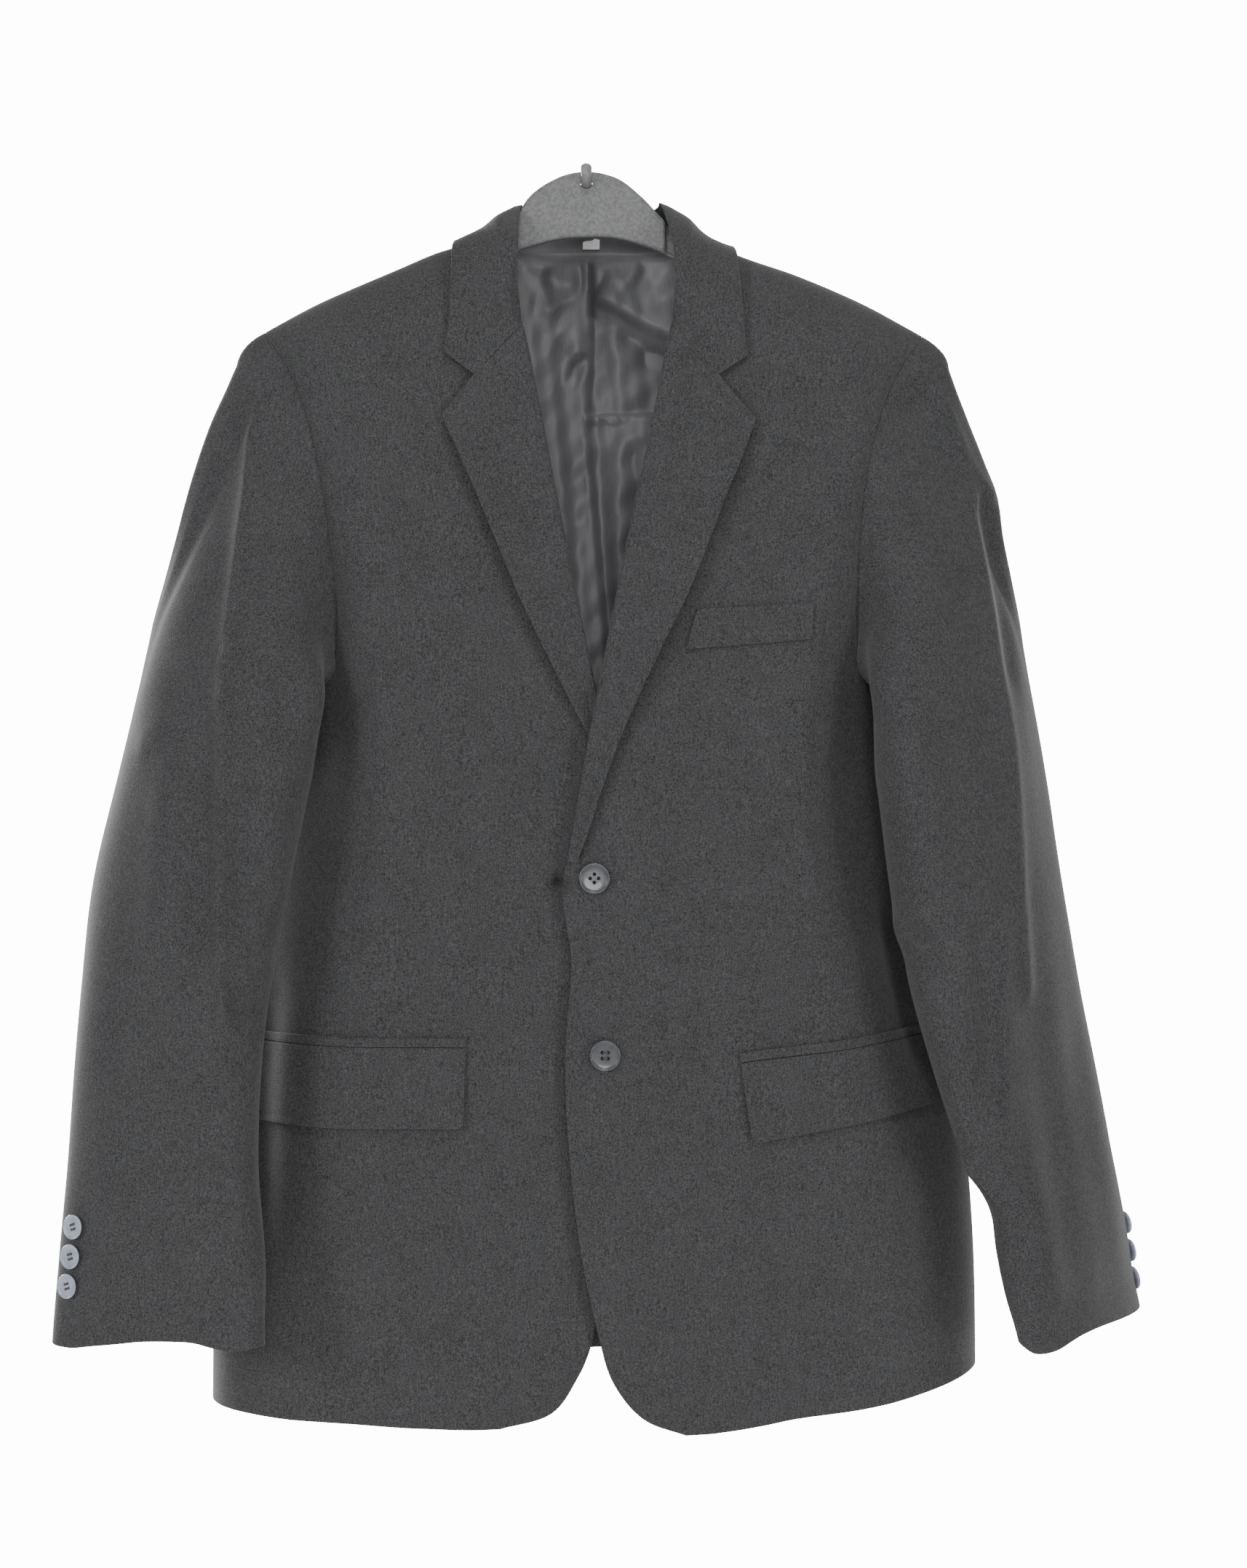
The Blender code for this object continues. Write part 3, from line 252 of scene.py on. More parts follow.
# How far the outer edge of each sleeve is drawn in, by height.
Trim = namedtuple("Trim", "z left right")
SLEEVE_TRIM = rows_of(Trim, """
-100 0 0
-112 3.5 5
-125 9.5 10
-140 14.5 13.5
-160 16.5 13.5
-184 14 13
-208 10 12.2
-236 11 11.3
-265 9.5 9.2
-300 6.8 5.8
-350 6.4 5.2
-400 7.4 5.6
-450 8.2 5.4
-510 6.9 5
-560 7.2 2.9
-620 7.4 0.8
-690 6 0
-760 3.6 0.4
""")
SLEEVE_POWER = 2.2
CUFF_FRONT_SEAM = 0.53          # where the seams end, as shares of the cuff's section
CUFF_BACK_SEAM = 0.95
CAP_SPREAD = 0.27               # how far the cap turns between armhole and upper arm
CAP_ROWS = 7
# How the cap leaves the armhole: degrees away from the body's face, and reach.
CapStart = namedtuple("CapStart", "tilt reach")
CAP_TOP, CAP_FRONT = CapStart(3, 0.80), CapStart(24, 0.60)
CAP_BACK, CAP_UNDER = CapStart(0, 0.60), CapStart(92, 0.55)

# Collar sections from the centre back round to the gorge, for one half.  Drops below
# the shoulder line are negative on the back.
Collar = namedtuple("Collar", "s lean neck_h neck_drop fold_h fold_y fold_z edge_h edge_drop")
COLLAR = rows_of(Collar, """
0 0 0 -51 0 -16 -6 0 -80
1 0 26 -37 22 -17 -7 36 -55
2 0 47 -15 39 -29 -9.5 64 -26
3 0 59 -3.5 47.5 -47 -11.5 83 -9
4 0 62 0 49.4 -64 -13.5 91.6 0
5 0.6 59.6 11 50.2 -81 -29 93.2 13
6 1.6 56 30 51 -94 -48 94.6 32
7 2.2 52.6 55 51 -101 -71 96.6 54
8 2.4 49.2 80.5 49.4 -105 -97 99.5 74
""")
COLLAR_RISE = {"left": 4.4, "right": 6.2}    # height of the fall over the neck seam
NOTCH_SHARE = 0.6               # how far across the collar and lapel the notch lies
# The collar's end: its roll point, the notch's inner corner and the collar's point.
CollarEnd = namedtuple("CollarEnd", "roll_h roll_z notch_h notch_z point_h point_z")
COLLAR_END = {"left": CollarEnd(51.6, -101.5, 81.8, -134.3, 101.0, -121.5),
              "right": CollarEnd(46.6, -101.5, 77.9, -134.0, 98.1, -118.7)}
RIDGE_ROOM = 0.8                # the collar stands off more where the shoulder turns
GORGE_GAP = 0.3                 # drop from the collar's end to the lapel's top

Lapel = namedtuple("Lapel", "row roll_h roll_z edge_h edge_z")
LAPEL = {"left": rows_of(Lapel, """
0 51.6 -102.5 106.4 -164
1 47.6 -122 96.1 -192
2 42 -152 85.3 -217
3 36 -183 75 -243
4 28.5 -218 62.4 -274
5 18.5 -268 42.3 -316
6 7.5 -324 22.1 -362
7 -4 -383 6.5 -404
8 -12 -430 -2.5 -432
9 -16.2 -452 -10.5 -453
"""), "right": rows_of(Lapel, """
0 46.6 -102.5 99 -162
1 42.6 -121 87.9 -186
2 37 -149 75.2 -215
3 31.5 -177 64 -242
4 24.5 -214 49.5 -277
5 14.5 -264 32 -314
6 3 -320 16 -346
7 -7.5 -371 1.3 -376
8 -13.5 -406 -6.5 -408
9 -17.5 -436 -13 -437
""")}
LAPEL_NOTCH_FADE = 0.9

# A flat trim is a four-cornered patch: inner top, outer top, inner bottom, outer bottom.
Patch = namedtuple("Patch", "side top_in top_out low_in low_out lift")
PATCHES = {
    "breast_welt": Patch("left", (67.5, -288), (144, -283.7), (60, -314.5), (143, -307.5),
                         2.2),
    "jet_left": Patch("left", (96, -576.5), (231, -560.5), (96, -583), (231, -566.5),
                      2.2),
    "jet_right": Patch("right", (83, -567.5), (233, -566), (83, -573.5), (233, -572),
                       2.2),
    "flap_left": Patch("left", (96, -583.4), (231, -566.9), (103.5, -636), (231, -612),
                       FLAP_LIFT),
    "flap_right": Patch("right", (83, -573.9), (233, -572.4), (84.5, -627), (233, -624),
                        FLAP_LIFT),
}
FLAP_CORNER = 8.0

HangerRow = namedtuple("HangerRow", "x top low depth power")
HANGER_WEB = rows_of(HangerRow, """
-57 -37 -50 5 3
-50 -29 -46.8 4.2 4
-45 -19.5 -44.6 4 5
-40 -11 -43 4 5
-34 -5 -41.3 4 5
-24 1.5 -38.5 4 5
-12 6.4 -36.6 4 5
0 7.8 -36 4 5
12 6.4 -36 4 5
24 1.6 -37.6 4 5
38 -10 -41.6 4 5
48 -20.6 -45.3 4 5
57 -29.6 -49.5 4.4 4
65 -42 -53 6 3
""")
HangerArm = namedtuple("HangerArm", "h height depth")
HANGER_ARM = rows_of(HangerArm, """
72 15 6
100 18 8.5
135 20 11
170 20 12
192 18 10
202 13 7.5
207 8 4.5
""")
HANGER_CLEARANCE = 2.8          # from the shoulder line down to the top of an arm

Button = namedtuple("Button", "name side h z")
FRONT_BUTTONS = [Button("front_button_upper", "left", 1.0, -462.9),
                 Button("front_button_lower", "left", 8.0, -577.6)]
CuffButton = namedtuple("CuffButton", "side z share")
CUFF_BUTTONS = [CuffButton("left", z, 0.022) for z in (-698.5, -717.0, -735.5)]
CUFF_BUTTONS += [CuffButton("right", -684.0, 0.122), CuffButton("right", -702.8, 0.117),
                 CuffButton("right", -721.6, 0.110)]


# Flat cut of each sheet, width and length in metres, and its area where it isn't a
# rectangle.
Cut = namedtuple("Cut", "flat area")
CUTS = {
    "front": Cut((0.34, 0.80), 0.185),
    "back": Cut((0.29, 0.79), 0.185),
    "top_sleeve": Cut((0.28, 0.68), 0.145),
    "under_sleeve": Cut((0.15, 0.46), 0.055),
    "collar": Cut((0.075, 0.44), 0.026),
    "lapel": Cut((0.085, 0.375), 0.014),
    "breast_welt": Cut((0.024, 0.083), None),
    "jet_left": Cut((0.010, 0.138), None),
    "jet_right": Cut((0.010, 0.150), None),
    "flap_left": Cut((0.050, 0.138), None),
    "flap_right": Cut((0.053, 0.150), None),
    "lining": Cut((0.52, 0.77), 0.33),
    "label": Cut((0.0116, 0.0146), None),
}


# Creases of the cloth: the pieces that each runs over, its form, the height of its
# ridge (or the depth of its trough, below 0), its half width, the share of its length in
# which it fades at each end and its depth in y, then its path of picture places.  A fold
# is rounded, a ridge has a crest, and a step stands up on the left of its path.
Crease = namedtuple("Crease", "group form height width fade depth path")
CREST = 2.2
STEP_SHARE = 0.28         # of its width that a step rises in


def creases_of(text):
    """Creases, one a line; a line that begins with a number goes on with the last path."""
    creases = []
    for line in text.strip().splitlines():
        words = line.split()
        if words[0] == "#":
            continue
        if words[0][0].isalpha():
            creases.append(Crease(*words[:2], *map(float, words[2:6]), []))
            words = words[6:]
        creases[-1].path.extend(tuple(map(float, place.split(","))) for place in words)
    return creases


CREASES = creases_of("""
# the wearer's right front
front fold -2.8 26 0.4 -100 410,540 480,680 530,800 560,960
front fold 1.8 24 0.4 -100 520,560 575,720 610,900
front fold -1.8 22 0.4 -100 640,980 690,1120 752,1212
front ridge 1.8 7 0.3 -104 680,1196 764,1216
front fold -1.8 8 0.3 -104 660,1228 764,1221
front fold -8.5 5 0.35 -104 752,1210 786,1219
front ridge 1.4 6 0.3 -104 700,1262 766,1226
front fold 2.6 30 0.4 -98 500,1400 490,1640 480,1900
front fold -2.2 26 0.4 -98 600,1500 590,1740 560,1930
front fold 1.8 30 0.4 -98 690,1300 700,1560 690,1880
# the wearer's left front
front fold -3 24 0.4 -108 1000,980 958,1090 968,1210
front fold 1.8 22 0.4 -108 1060,960 1040,1120 1050,1300
front fold -3.2 15 0.35 -110 792,1262 838,1322 905,1362
front fold -2.6 16 0.35 -110 905,1370 885,1420 845,1440
front fold 2.6 18 0.35 -110 795,1340 840,1390 870,1400
front fold 1.6 12 0.3 -110 850,1205 940,1250 1010,1330
front fold -1.4 12 0.3 -110 850,1240 930,1300 980,1390
front fold -2.4 26 0.4 -100 1150,1000 1165,1160 1185,1330
front fold -2.6 22 0.4 -98 860,1610 900,1720 905,1850
front fold 2.4 26 0.4 -98 960,1560 990,1740 1000,1930
front fold -2.2 26 0.4 -98 1060,1600 1090,1720 1110,1900
front fold 2.2 28 0.4 -90 1190,1600 1210,1740 1225,1880
# in the shade of the sleeves
front fold -3 8 0.45 -104 448,640 458,800 452,960 436,1110
front fold -6 16 0.35 -98 370,1280 350,1420 346,1600 356,1790
front fold -7 11 0.35 -98 1222,1180 1240,1290 1262,1400 1300,1540
# the back
back fold 2.6 34 0.4 -20 620,700 600,1100 560,1500 560,1900
back fold -2.2 30 0.4 -20 720,800 700,1200 690,1600
back fold 2.4 32 0.4 -20 1060,700 1070,1100 1090,1500 1080,1900
back fold -2.2 30 0.4 -20 960,800 970,1200 980,1600
back fold -1.6 3 0.02 -20 867,520 867,1935
# the wearer's right sleeve
sleeve_right ridge 5.6 4.2 0.05 -130 363,470 347,510 333,579 327,659 321,717 313,831 307,946
   307,1086 306,1230 312,1344 318,1430
sleeve_right fold -2.2 6 0.15 -130 350,640 342,760 334,900 332,1040 332,1200 338,1330
sleeve_right fold -4.6 10 0.25 -130 290,960 288,1090 286,1230 288,1360
sleeve_right fold 3.8 15 0.3 -125 246,1000 238,1130 232,1250 226,1370
sleeve_right fold -5 12 0.3 -134 312,1120 345,1200 390,1268
sleeve_right fold 2.6 14 0.3 -134 318,1290 350,1315 372,1340
sleeve_right fold -1 18 0.25 -130 300,620 280,720 268,820 262,900
sleeve_right step 3.4 20 0.4 -120 178,1040 214,1020 262,1000
sleeve_right fold -3 13 0.3 -134 372,1150 352,1320 345,1500
sleeve_right fold 2.6 12 0.3 -130 318,1430 330,1560 345,1700
sleeve_right fold 2.2 16 0.3 -120 180,1430 165,1600 170,1790
sleeve_right fold -2 18 0.3 -130 240,1500 236,1660 240,1840
# the wearer's left sleeve
sleeve_left ridge 4 4 0.06 -110 1290,498 1327,584 1342,647 1347,698 1362,767 1373,842 1379,899
   1387,963 1396,1049 1399,1123 1402,1204 1406,1300 1412,1400
sleeve_left fold -3.2 6 0.2 -100 1352,640 1368,700 1382,790 1392,880 1402,980
sleeve_left step 4.6 14 0.3 -90 1340,700 1362,684 1385,668
sleeve_left fold -2.4 16 0.25 -120 1290,640 1310,780 1322,930 1338,1080 1348,1200
sleeve_left step 5 12 0.2 -124 1366,1240 1370,1340 1372,1460 1376,1590
sleeve_left fold -4 9 0.25 -124 1345,1230 1352,1380 1356,1540
sleeve_left fold 2.4 14 0.3 -130 1240,960 1262,1160 1290,1320
sleeve_left fold -3.4 7 0.3 -134 1236,1262 1262,1286 1300,1330
sleeve_left fold -2.4 14 0.3 -124 1440,1440 1456,1600 1470,1740
sleeve_left fold -3.6 7 0.3 -134 1330,1590 1362,1640 1400,1660
sleeve_left fold 2.2 12 0.3 -130 1420,1690 1440,1760 1450,1830
# the lining, seen in the neck; paths that go up the picture stand up on its left
lining step 5 20 0.03 -24 842,1010 834,900 826,800 816,690 806,600 808,560 813,482 811,347
lining fold -5 2.2 0.04 -24 813,345 814,440
lining fold -2.5 8 0.08 -24 815,400 819,480 818,575 826,700 832,800 840,900 848,1010
lining step 8 26 0.1 -24 812,411 850,431 890,453 960,490
lining fold -8 8 0.35 -24 826,438 860,462 905,492 960,520
lining fold -9 20 0.3 -24 896,470 902,540 900,606
lining step 5 26 0.08 -24 930,568 890,571 840,573 800,574
lining fold 1.6 3 0.1 -24 900,576 850,578 800,578
lining fold -3.6 9 0.4 -24 735,420 778,436
lining fold -4 9 0.4 -24 778,508 806,520
lining fold 4.6 8 0.3 -24 752,368 770,395 795,405
lining fold 4.2 9 0.3 -24 768,460 790,475 802,500
lining fold 4.4 7 0.3 -24 840,395 862,385 884,360
lining fold -3 8 0.3 -24 736,384 745,356 760,345
lining fold 2.6 9 0.3 -24 786,560 796,700 810,860
lining fold 3.4 6 0.2 -24 850,590 852,720 850,860
""")

# Where a sleeve's visible face is moved, to lie over the armhole and to end as shown.
Push = namedtuple("Push", "side px py depth wide high x y")
PUSHES = [
    Push("right", 446, 948, -110, 16, 24, 10.0, -3.0),
    Push("right", 440, 1010, -120, 14, 30, 3.0, 0.0),
    Push("left", 1194, 920, -110, 14, 24, -6.5, -3.0),
    Push("left", 1232, 1280, -130, 10, 12, -3.5, 0.0),
    Push("left", 1262, 1318, -130, 12, 10, 3.0, 0.0),
    Push("left", 1338, 1610, -130, 10, 12, -4.0, 0.0),
    Push("left", 1368, 1680, -130, 10, 12, 3.0, 0.0),
]


# How far the cuff's hem is lifted, in picture pixels, across the picture.
HemLift = namedtuple("HemLift", "px lift")
CUFF_HEM = {
    "right": [HemLift(60, 0), HemLift(100, 0), HemLift(130, 5), HemLift(165, 10),
              HemLift(200, 15), HemLift(245, 17), HemLift(275, 16), HemLift(300, 10),
              HemLift(327, 5), HemLift(362, 8)],
    "left": [HemLift(1392, 10), HemLift(1404, 1), HemLift(1418, -6), HemLift(1436, -7),
             HemLift(1456, -4), HemLift(1475, 3), HemLift(1495, 9), HemLift(1525, 13),
             HemLift(1570, 14)],
}


# ---------------------------------------------------------------- tables to curves
def hermite(t, start, start_way, end, end_way):
    """A cubic between two places, with its way on at each of them."""
    return ((2 * t ** 3 - 3 * t ** 2 + 1) * start + (t ** 3 - 2 * t ** 2 + t) * start_way
            + (3 * t ** 2 - 2 * t ** 3) * end + (t ** 3 - t ** 2) * end_way)


class Curve:
    """Smooth curves through the rows of a table, read at values of its column `key`."""

    def __init__(self, rows, key):
        self.names = rows[0]._fields
        column = self.names.index(key)
        self.table = table = np.array(sorted(rows, key=lambda row: row[column]), float)
        self.knots = table[:, column]
        here = np.arange(len(table))
        before, after = np.maximum(here - 1, 0), np.minimum(here + 1, len(table) - 1)
        step = (self.knots[after] - self.knots[before])[:, None]
        self.slopes = (table[after] - table[before]) / step

    def __call__(self, value):
        value = np.clip(np.asarray(value, float), self.knots[0], self.knots[-1])
        i = np.clip(np.searchsorted(self.knots, value, side="right") - 1, 0, len(self.knots) - 2)
        span = (self.knots[i + 1] - self.knots[i])[..., None]
        t = (value[..., None] - self.knots[i][..., None]) / span
        rows = hermite(t, self.table[i], span * self.slopes[i],
                       self.table[i + 1], span * self.slopes[i + 1])
        return {name: rows[..., k] for k, name in enumerate(self.names)}

    def at(self, value):
        """The row at one value, as plain numbers."""
        return {name: float(number) for name, number in self(value).items()}


def mix(a, b, t):
    return a + (b - a) * t


def smooth(t):
    t = np.clip(t, 0.0, 1.0)
    return t * t * (3 - 2 * t)


def running(steps, axis=0):
    """Sums of steps along an axis, from 0."""
    return np.insert(steps.cumsum(axis=axis), 0, 0.0, axis=axis)


def rounding(t, power):
    """0 at an edge and 1 on the flat, along a superellipse."""
    t = np.clip(t, 0.0, 1.0)
    return (1 - (1 - t) ** power) ** (1 / power)


BODY_AT = Curve(BODY, "z")
SHOULDER_AT = Curve(SHOULDER, "h")
FRONT_AT = {side: Curve(FRONT[side], "row") for side in SIDES}
HEM_AT = Curve(HEM, "h")
BACK_AT = {side: Curve(BACK[side], "row") for side in SIDES}


def armhole_and_seam(rows, corner):
    """Curves of a panel's outer edge, down the armhole and down the side seam."""
    rows = [row._replace(out_h=float(BODY_AT(row.out_z)["half"])) if row.row >= corner else row
            for row in rows]
    split = [row.row for row in rows].index(corner)
    return Curve(rows[:split + 1], "row"), Curve(rows[split:], "row")


FRONT_OUT = {side: armhole_and_seam(FRONT[side], UNDERARM_ROW) for side in SIDES}
BACK_OUT = {side: armhole_and_seam(BACK[side], BACK_UNDERARM_ROW) for side in SIDES}


def outer_end(curves, row, corner):
    """h and z of a panel's outer edge at its rows."""
    above, below = curves[0](row), curves[1](row)
    return tuple(np.where(row <= corner, above[key], below[key]) for key in ("out_h", "out_z"))


NECK_AT = Curve(BACK_NECK, "h")
SLEEVE_AT = {side: Curve(SLEEVE[side], "z") for side in SIDES}
TRIM_AT = Curve(SLEEVE_TRIM, "z")
CUFF_HEM_AT = {side: Curve(CUFF_HEM[side], "px") for side in SIDES}
COLLAR_AT = Curve(COLLAR, "s")
LAPEL_AT = {side: Curve(LAPEL[side], "row") for side in SIDES}
WEB_AT = Curve(HANGER_WEB, "x")
ARM_AT = Curve(HANGER_ARM, "h")


# ---------------------------------------------------------------- the body's form
def shoulder_z(side, h):
    return SHOULDER_AT(np.abs(h))[side]


def front_y(side, h, z):
    """Depth of a front's plain form, rolled in at the shoulder and at the side."""
    body = BODY_AT(z)
    top = rounding((shoulder_z(side, h) - z) / SHOULDER_ROLL_FRONT, 2.0)
    flank = rounding((body["half"] - np.abs(h)) / body["flank"], body["power"])
    y = body["front_y"] + (RIDGE_Y - body["front_y"]) * (1 - top)
    y = y + (body["side_y"] - body["front_y"]) * (1 - flank) * top
    if side == "left":
        y = y - OVERLAP_LIFT * smooth((OVERLAP_START - h) / (OVERLAP_START - OVERLAP_FULL)) * top
    return y


def back_y(side, h, z):
    body = BODY_AT(z)
    top = rounding((shoulder_z(side, h) - z) / SHOULDER_ROLL_BACK, 2.0)
    flank = rounding((body["half"] - np.abs(h)) / BACK_FLANK, BACK_POWER)
    y = body["back_y"] + (RIDGE_Y - body["back_y"]) * (1 - top)
    return y + (body["side_y"] - body["back_y"]) * (1 - flank) * top


def place(side, h, y, z):
    """Points by their width out from the centre line, in mm."""
    h, y, z = np.broadcast_arrays(np.asarray(h, float), y, z)
    return np.stack([CENTRE_X + SIDES[side] * h, y, z], axis=-1)


def unit(vectors):
    return vectors / np.maximum(np.linalg.norm(vectors, axis=-1, keepdims=True), 1e-9)


def front_place(side, h, z, lift=0.0):
    """Points of the front's outer face, moved out by `lift`, creases included."""
    step = 2.0
    here = place(side, h, front_y(side, h, z), z)
    across = place(side, h + step, front_y(side, h + step, z), z) - here
    down = place(side, h, front_y(side, h, z - step), z - step) - here
    normal = unit(np.cross(across, down))
    normal = np.where(normal[..., 1:2] > 0, -normal, normal)
    raised = np.asarray(lift) + relief("front", side, h, z)
    return here + normal * raised[..., None], normal


def body_place(side, h, drop, lift):
    """Points by their drop from the shoulder line, which is negative down the back."""
    up = ridge_normals(side, h)
    z = shoulder_z(side, h) - np.abs(drop)
    front = (np.asarray(drop) >= 0)
    y = np.where(front, front_y(side, h, z), back_y(side, h, z))
    here = place(side, h, y, z)
    facing = np.zeros_like(here)
    facing[..., 1] = np.where(front, -1.0, 1.0)
    roll = np.where(front, SHOULDER_ROLL_FRONT, SHOULDER_ROLL_BACK)
    turn = np.arccos(1 - np.minimum(np.abs(drop) / roll, 1.0))[..., None]
    return here + (up * np.cos(turn) + facing * np.sin(turn)) * np.asarray(lift)[..., None]


# ---------------------------------------------------------------- creases
def polyline_distance(x, z, path):
    """Distance to a path, above 0 on its left as seen from the front and below 0 on its
    right, and the share of its length at the nearest place."""
    x, z = np.broadcast_arrays(np.asarray(x, float), z)
    points = np.array(path, float)
    lengths = np.linalg.norm(np.diff(points, axis=0), axis=1)
    starts = running(lengths)
    best = np.full(x.shape, 1e9)
    share = np.zeros(x.shape)
    for (ax, az), (bx, bz), length, start in zip(points, points[1:], lengths, starts):
        t = np.clip(((x - ax) * (bx - ax) + (z - az) * (bz - az)) / length ** 2, 0, 1)
        turn = (x - ax) * (bz - az) - (z - az) * (bx - ax)
        gap = np.hypot(x - mix(ax, bx, t), z - mix(az, bz, t)) * np.where(turn < 0, 1, -1)
        nearer = np.abs(gap) < np.abs(best)
        best = np.where(nearer, gap, best)
        share = np.where(nearer, (start + t * length) / starts[-1], share)
    return best, share


def picture_xz(px, py, y):
    """World x and z, in mm, of a place in the picture at depth y."""
    scale = PIXEL * (CAMERA_DISTANCE + y - FRONT_DEPTH) / CAMERA_DISTANCE
    return (PHOTO_CENTRE[0] + (px - PHOTO_SIZE[0] / 2) * scale,
            PHOTO_CENTRE[1] - (py - PHOTO_SIZE[1] / 2) * scale)


def crease_height(group, x, z):
    """Height of the creases of a group of pieces over their plain form, in mm."""
    height = np.zeros(np.broadcast(x, z).shape)
    for crease in CREASES:
        if crease.group != group:
            continue
        path = [picture_xz(px, py, crease.depth) for px, py in crease.path]
        gap, share = polyline_distance(x, z, path)
        ends = smooth(share / crease.fade) * smooth((1 - share) / crease.fade)
        if crease.form == "ridge":
            form = np.exp(-(np.hypot(gap, CREST) - CREST) / crease.width)
        elif crease.form == "step":
            form = (smooth(gap / (STEP_SHARE * crease.width) + 0.5)
                    * np.exp(-np.abs(gap) / crease.width))
        else:
            form = np.exp(-(gap / crease.width) ** 2)
        height = height + crease.height * form * ends
    return height * sizes().crease_strength


def drape(x, z, size, depth, seed):
    """Slow uneven waves of hanging cloth, the same at each run."""
    waves = np.zeros(np.broadcast(x, z).shape)
    for k, (turn, stretch) in enumerate(((0.35, 1.0), (1.9, 1.7), (-0.8, 2.6), (0.1, 3.3))):
        phase = seed * 1.7 + k * 2.1
        waves = waves + np.sin((x * math.cos(turn) + z * math.sin(turn) * 0.45)
                               * 2 * math.pi * stretch / size + phase) / stretch
    return waves * depth


# ---------------------------------------------------------------- grids of the panels
def spread(count, rim):
    """Shares from 0 to 1 with one extra near each end, for a rounded rim."""
    return np.concatenate([[0, rim], np.linspace(0, 1, count + 1)[1:-1], [1 - rim, 1]])


def front_hz(side, row, share):
    """h and z on a front: `share` runs from its inner edge to its outer edge."""
    data = FRONT_AT[side](row)
    out_h, out_z = outer_end(FRONT_OUT[side], row, UNDERARM_ROW)
    h = mix(data["in_h"], out_h, share)
    z = mix(data["in_z"], out_z, share)
    chord = mix(shoulder_z(side, data["in_h"]), shoulder_z(side, out_h), share)
    z = z + smooth(1 - row / 5) * (shoulder_z(side, h) - chord)
    chord = mix(HEM_AT(data["in_h"])[side], HEM_AT(out_h)[side], share)
    z = z + smooth((row - 18.5) / 4.5) * (HEM_AT(h)[side] - chord)
    return h, z


def back_top_z(side, h):
    return np.where(h >= BACK_NECK[-1].h, shoulder_z(side, h), NECK_AT(h)["z"])


def back_hz(side, row, share):
    """h and z on a back: `share` runs from the centre seam to its outer edge."""
    data = BACK_AT[side](row)
    out_h, out_z = outer_end(BACK_OUT[side], row, BACK_UNDERARM_ROW)
    h = out_h * share
    z = mix(data["in_z"], out_z, share)
    chord = mix(back_top_z(side, np.zeros_like(out_h)), back_top_z(side, out_h), share)
    z = z + smooth(1 - row / 1.5) * share * BACK_TOP_LIFT[side]
    return h, z + smooth(1 - row / 6) * (back_top_z(side, h) - chord)


def grid_normals(points, outward):
    """Normals of a grid, turned to the side that `outward` points to."""
    normals = unit(np.cross(np.gradient(points, axis=1), np.gradient(points, axis=0)))
    if (normals * np.array(outward, float)).sum() < 0:
        normals = -normals
    return normals


# ---------------------------------------------------------------- meshes
def new_object(name, data):
    """An object in the scene, at the origin."""
    thing = bpy.data.objects.new(name, data)
    bpy.context.scene.collection.objects.link(thing)
    return thing


def mesh_object(name, points, faces, material, uvs=None, sharp=50.0):
    """A mesh object from points in millimetres; faces are turned outwards."""
    mesh = bpy.data.meshes.new(name)
    mesh.from_pydata((np.asarray(points, float) * MM).tolist(), [], [list(f) for f in faces])
    if uvs is not None:
        layer = mesh.uv_layers.new(name="cut")
        corner = np.empty(len(mesh.loops), int)
        mesh.loops.foreach_get("vertex_index", corner)
        layer.data.foreach_set("uv", np.asarray(uvs, float)[corner].ravel())
    shape = bmesh.new()
    shape.from_mesh(mesh)
    bmesh.ops.recalc_face_normals(shape, faces=shape.faces)
    shape.to_mesh(mesh)
    shape.free()
    mesh.shade_smooth()
    mesh.set_sharp_from_angle(angle=math.radians(sharp))
    mesh.materials.append(material)
    return new_object(name, mesh)


def arc_uvs(grid):
    """Metres along a grid's rows and down its columns."""
    across = running(np.linalg.norm(np.diff(grid, axis=1), axis=2), 1)
    across -= across.mean(axis=1, keepdims=True)
    down = running(np.linalg.norm(np.diff(grid, axis=0), axis=2))
    return np.stack([across, -down], axis=-1) * MM


def cloth():
    """Thickness of the outer cloth in millimetres."""
    return sizes().cloth_thickness / MM


def turned_in(points, normals, into):
    """An edge's allowance, below the cloth that it is sewn to."""
    return points + np.asarray(into) * ALLOWANCE - normals * (cloth() + ALLOWANCE_ROOM)


def with_allowance(outer, normals, uvs, into):
    """The sheet with an allowance before its first row."""
    tucked = turned_in(outer[:1], normals[:1], into)
    return (np.concatenate([tucked, outer]), np.concatenate([normals[:1], normals]),
            np.concatenate([uvs[:1], uvs]))


def shell(name, outer, normals, material, thick, uvs=None):
    """A closed piece of cloth from the grid of its outer face, rounded at its rim."""
    rows, columns = outer.shape[:2]
    inner = outer - normals * thick
    for line in (np.s_[0, :], np.s_[-1, :], np.s_[:, 0], np.s_[:, -1]):
        outer[line], inner[line] = (mix(outer[line], inner[line], 0.3),
                                    mix(inner[line], outer[line], 0.3))
    points = np.concatenate([outer.reshape(-1, 3), inner.reshape(-1, 3)])
    index = np.arange(rows * columns).reshape(rows, columns)
    quads = np.stack([index[:-1, :-1], index[:-1, 1:], index[1:, 1:], index[1:, :-1]],
                     -1).reshape(-1, 4)
    back = rows * columns
    border = np.concatenate([index[0, :], index[1:, -1], index[-1, -2::-1], index[-2:0:-1, 0]])
    following = np.roll(border, -1)
    walls = np.stack([following, border, back + border, back + following], -1)
    faces = np.concatenate([quads, back + quads[:, ::-1], walls])
    flat = arc_uvs(outer) if uvs is None else uvs
    flat = np.concatenate([flat.reshape(-1, 2)] * 2)
    return mesh_object(name, points, faces, material, flat)


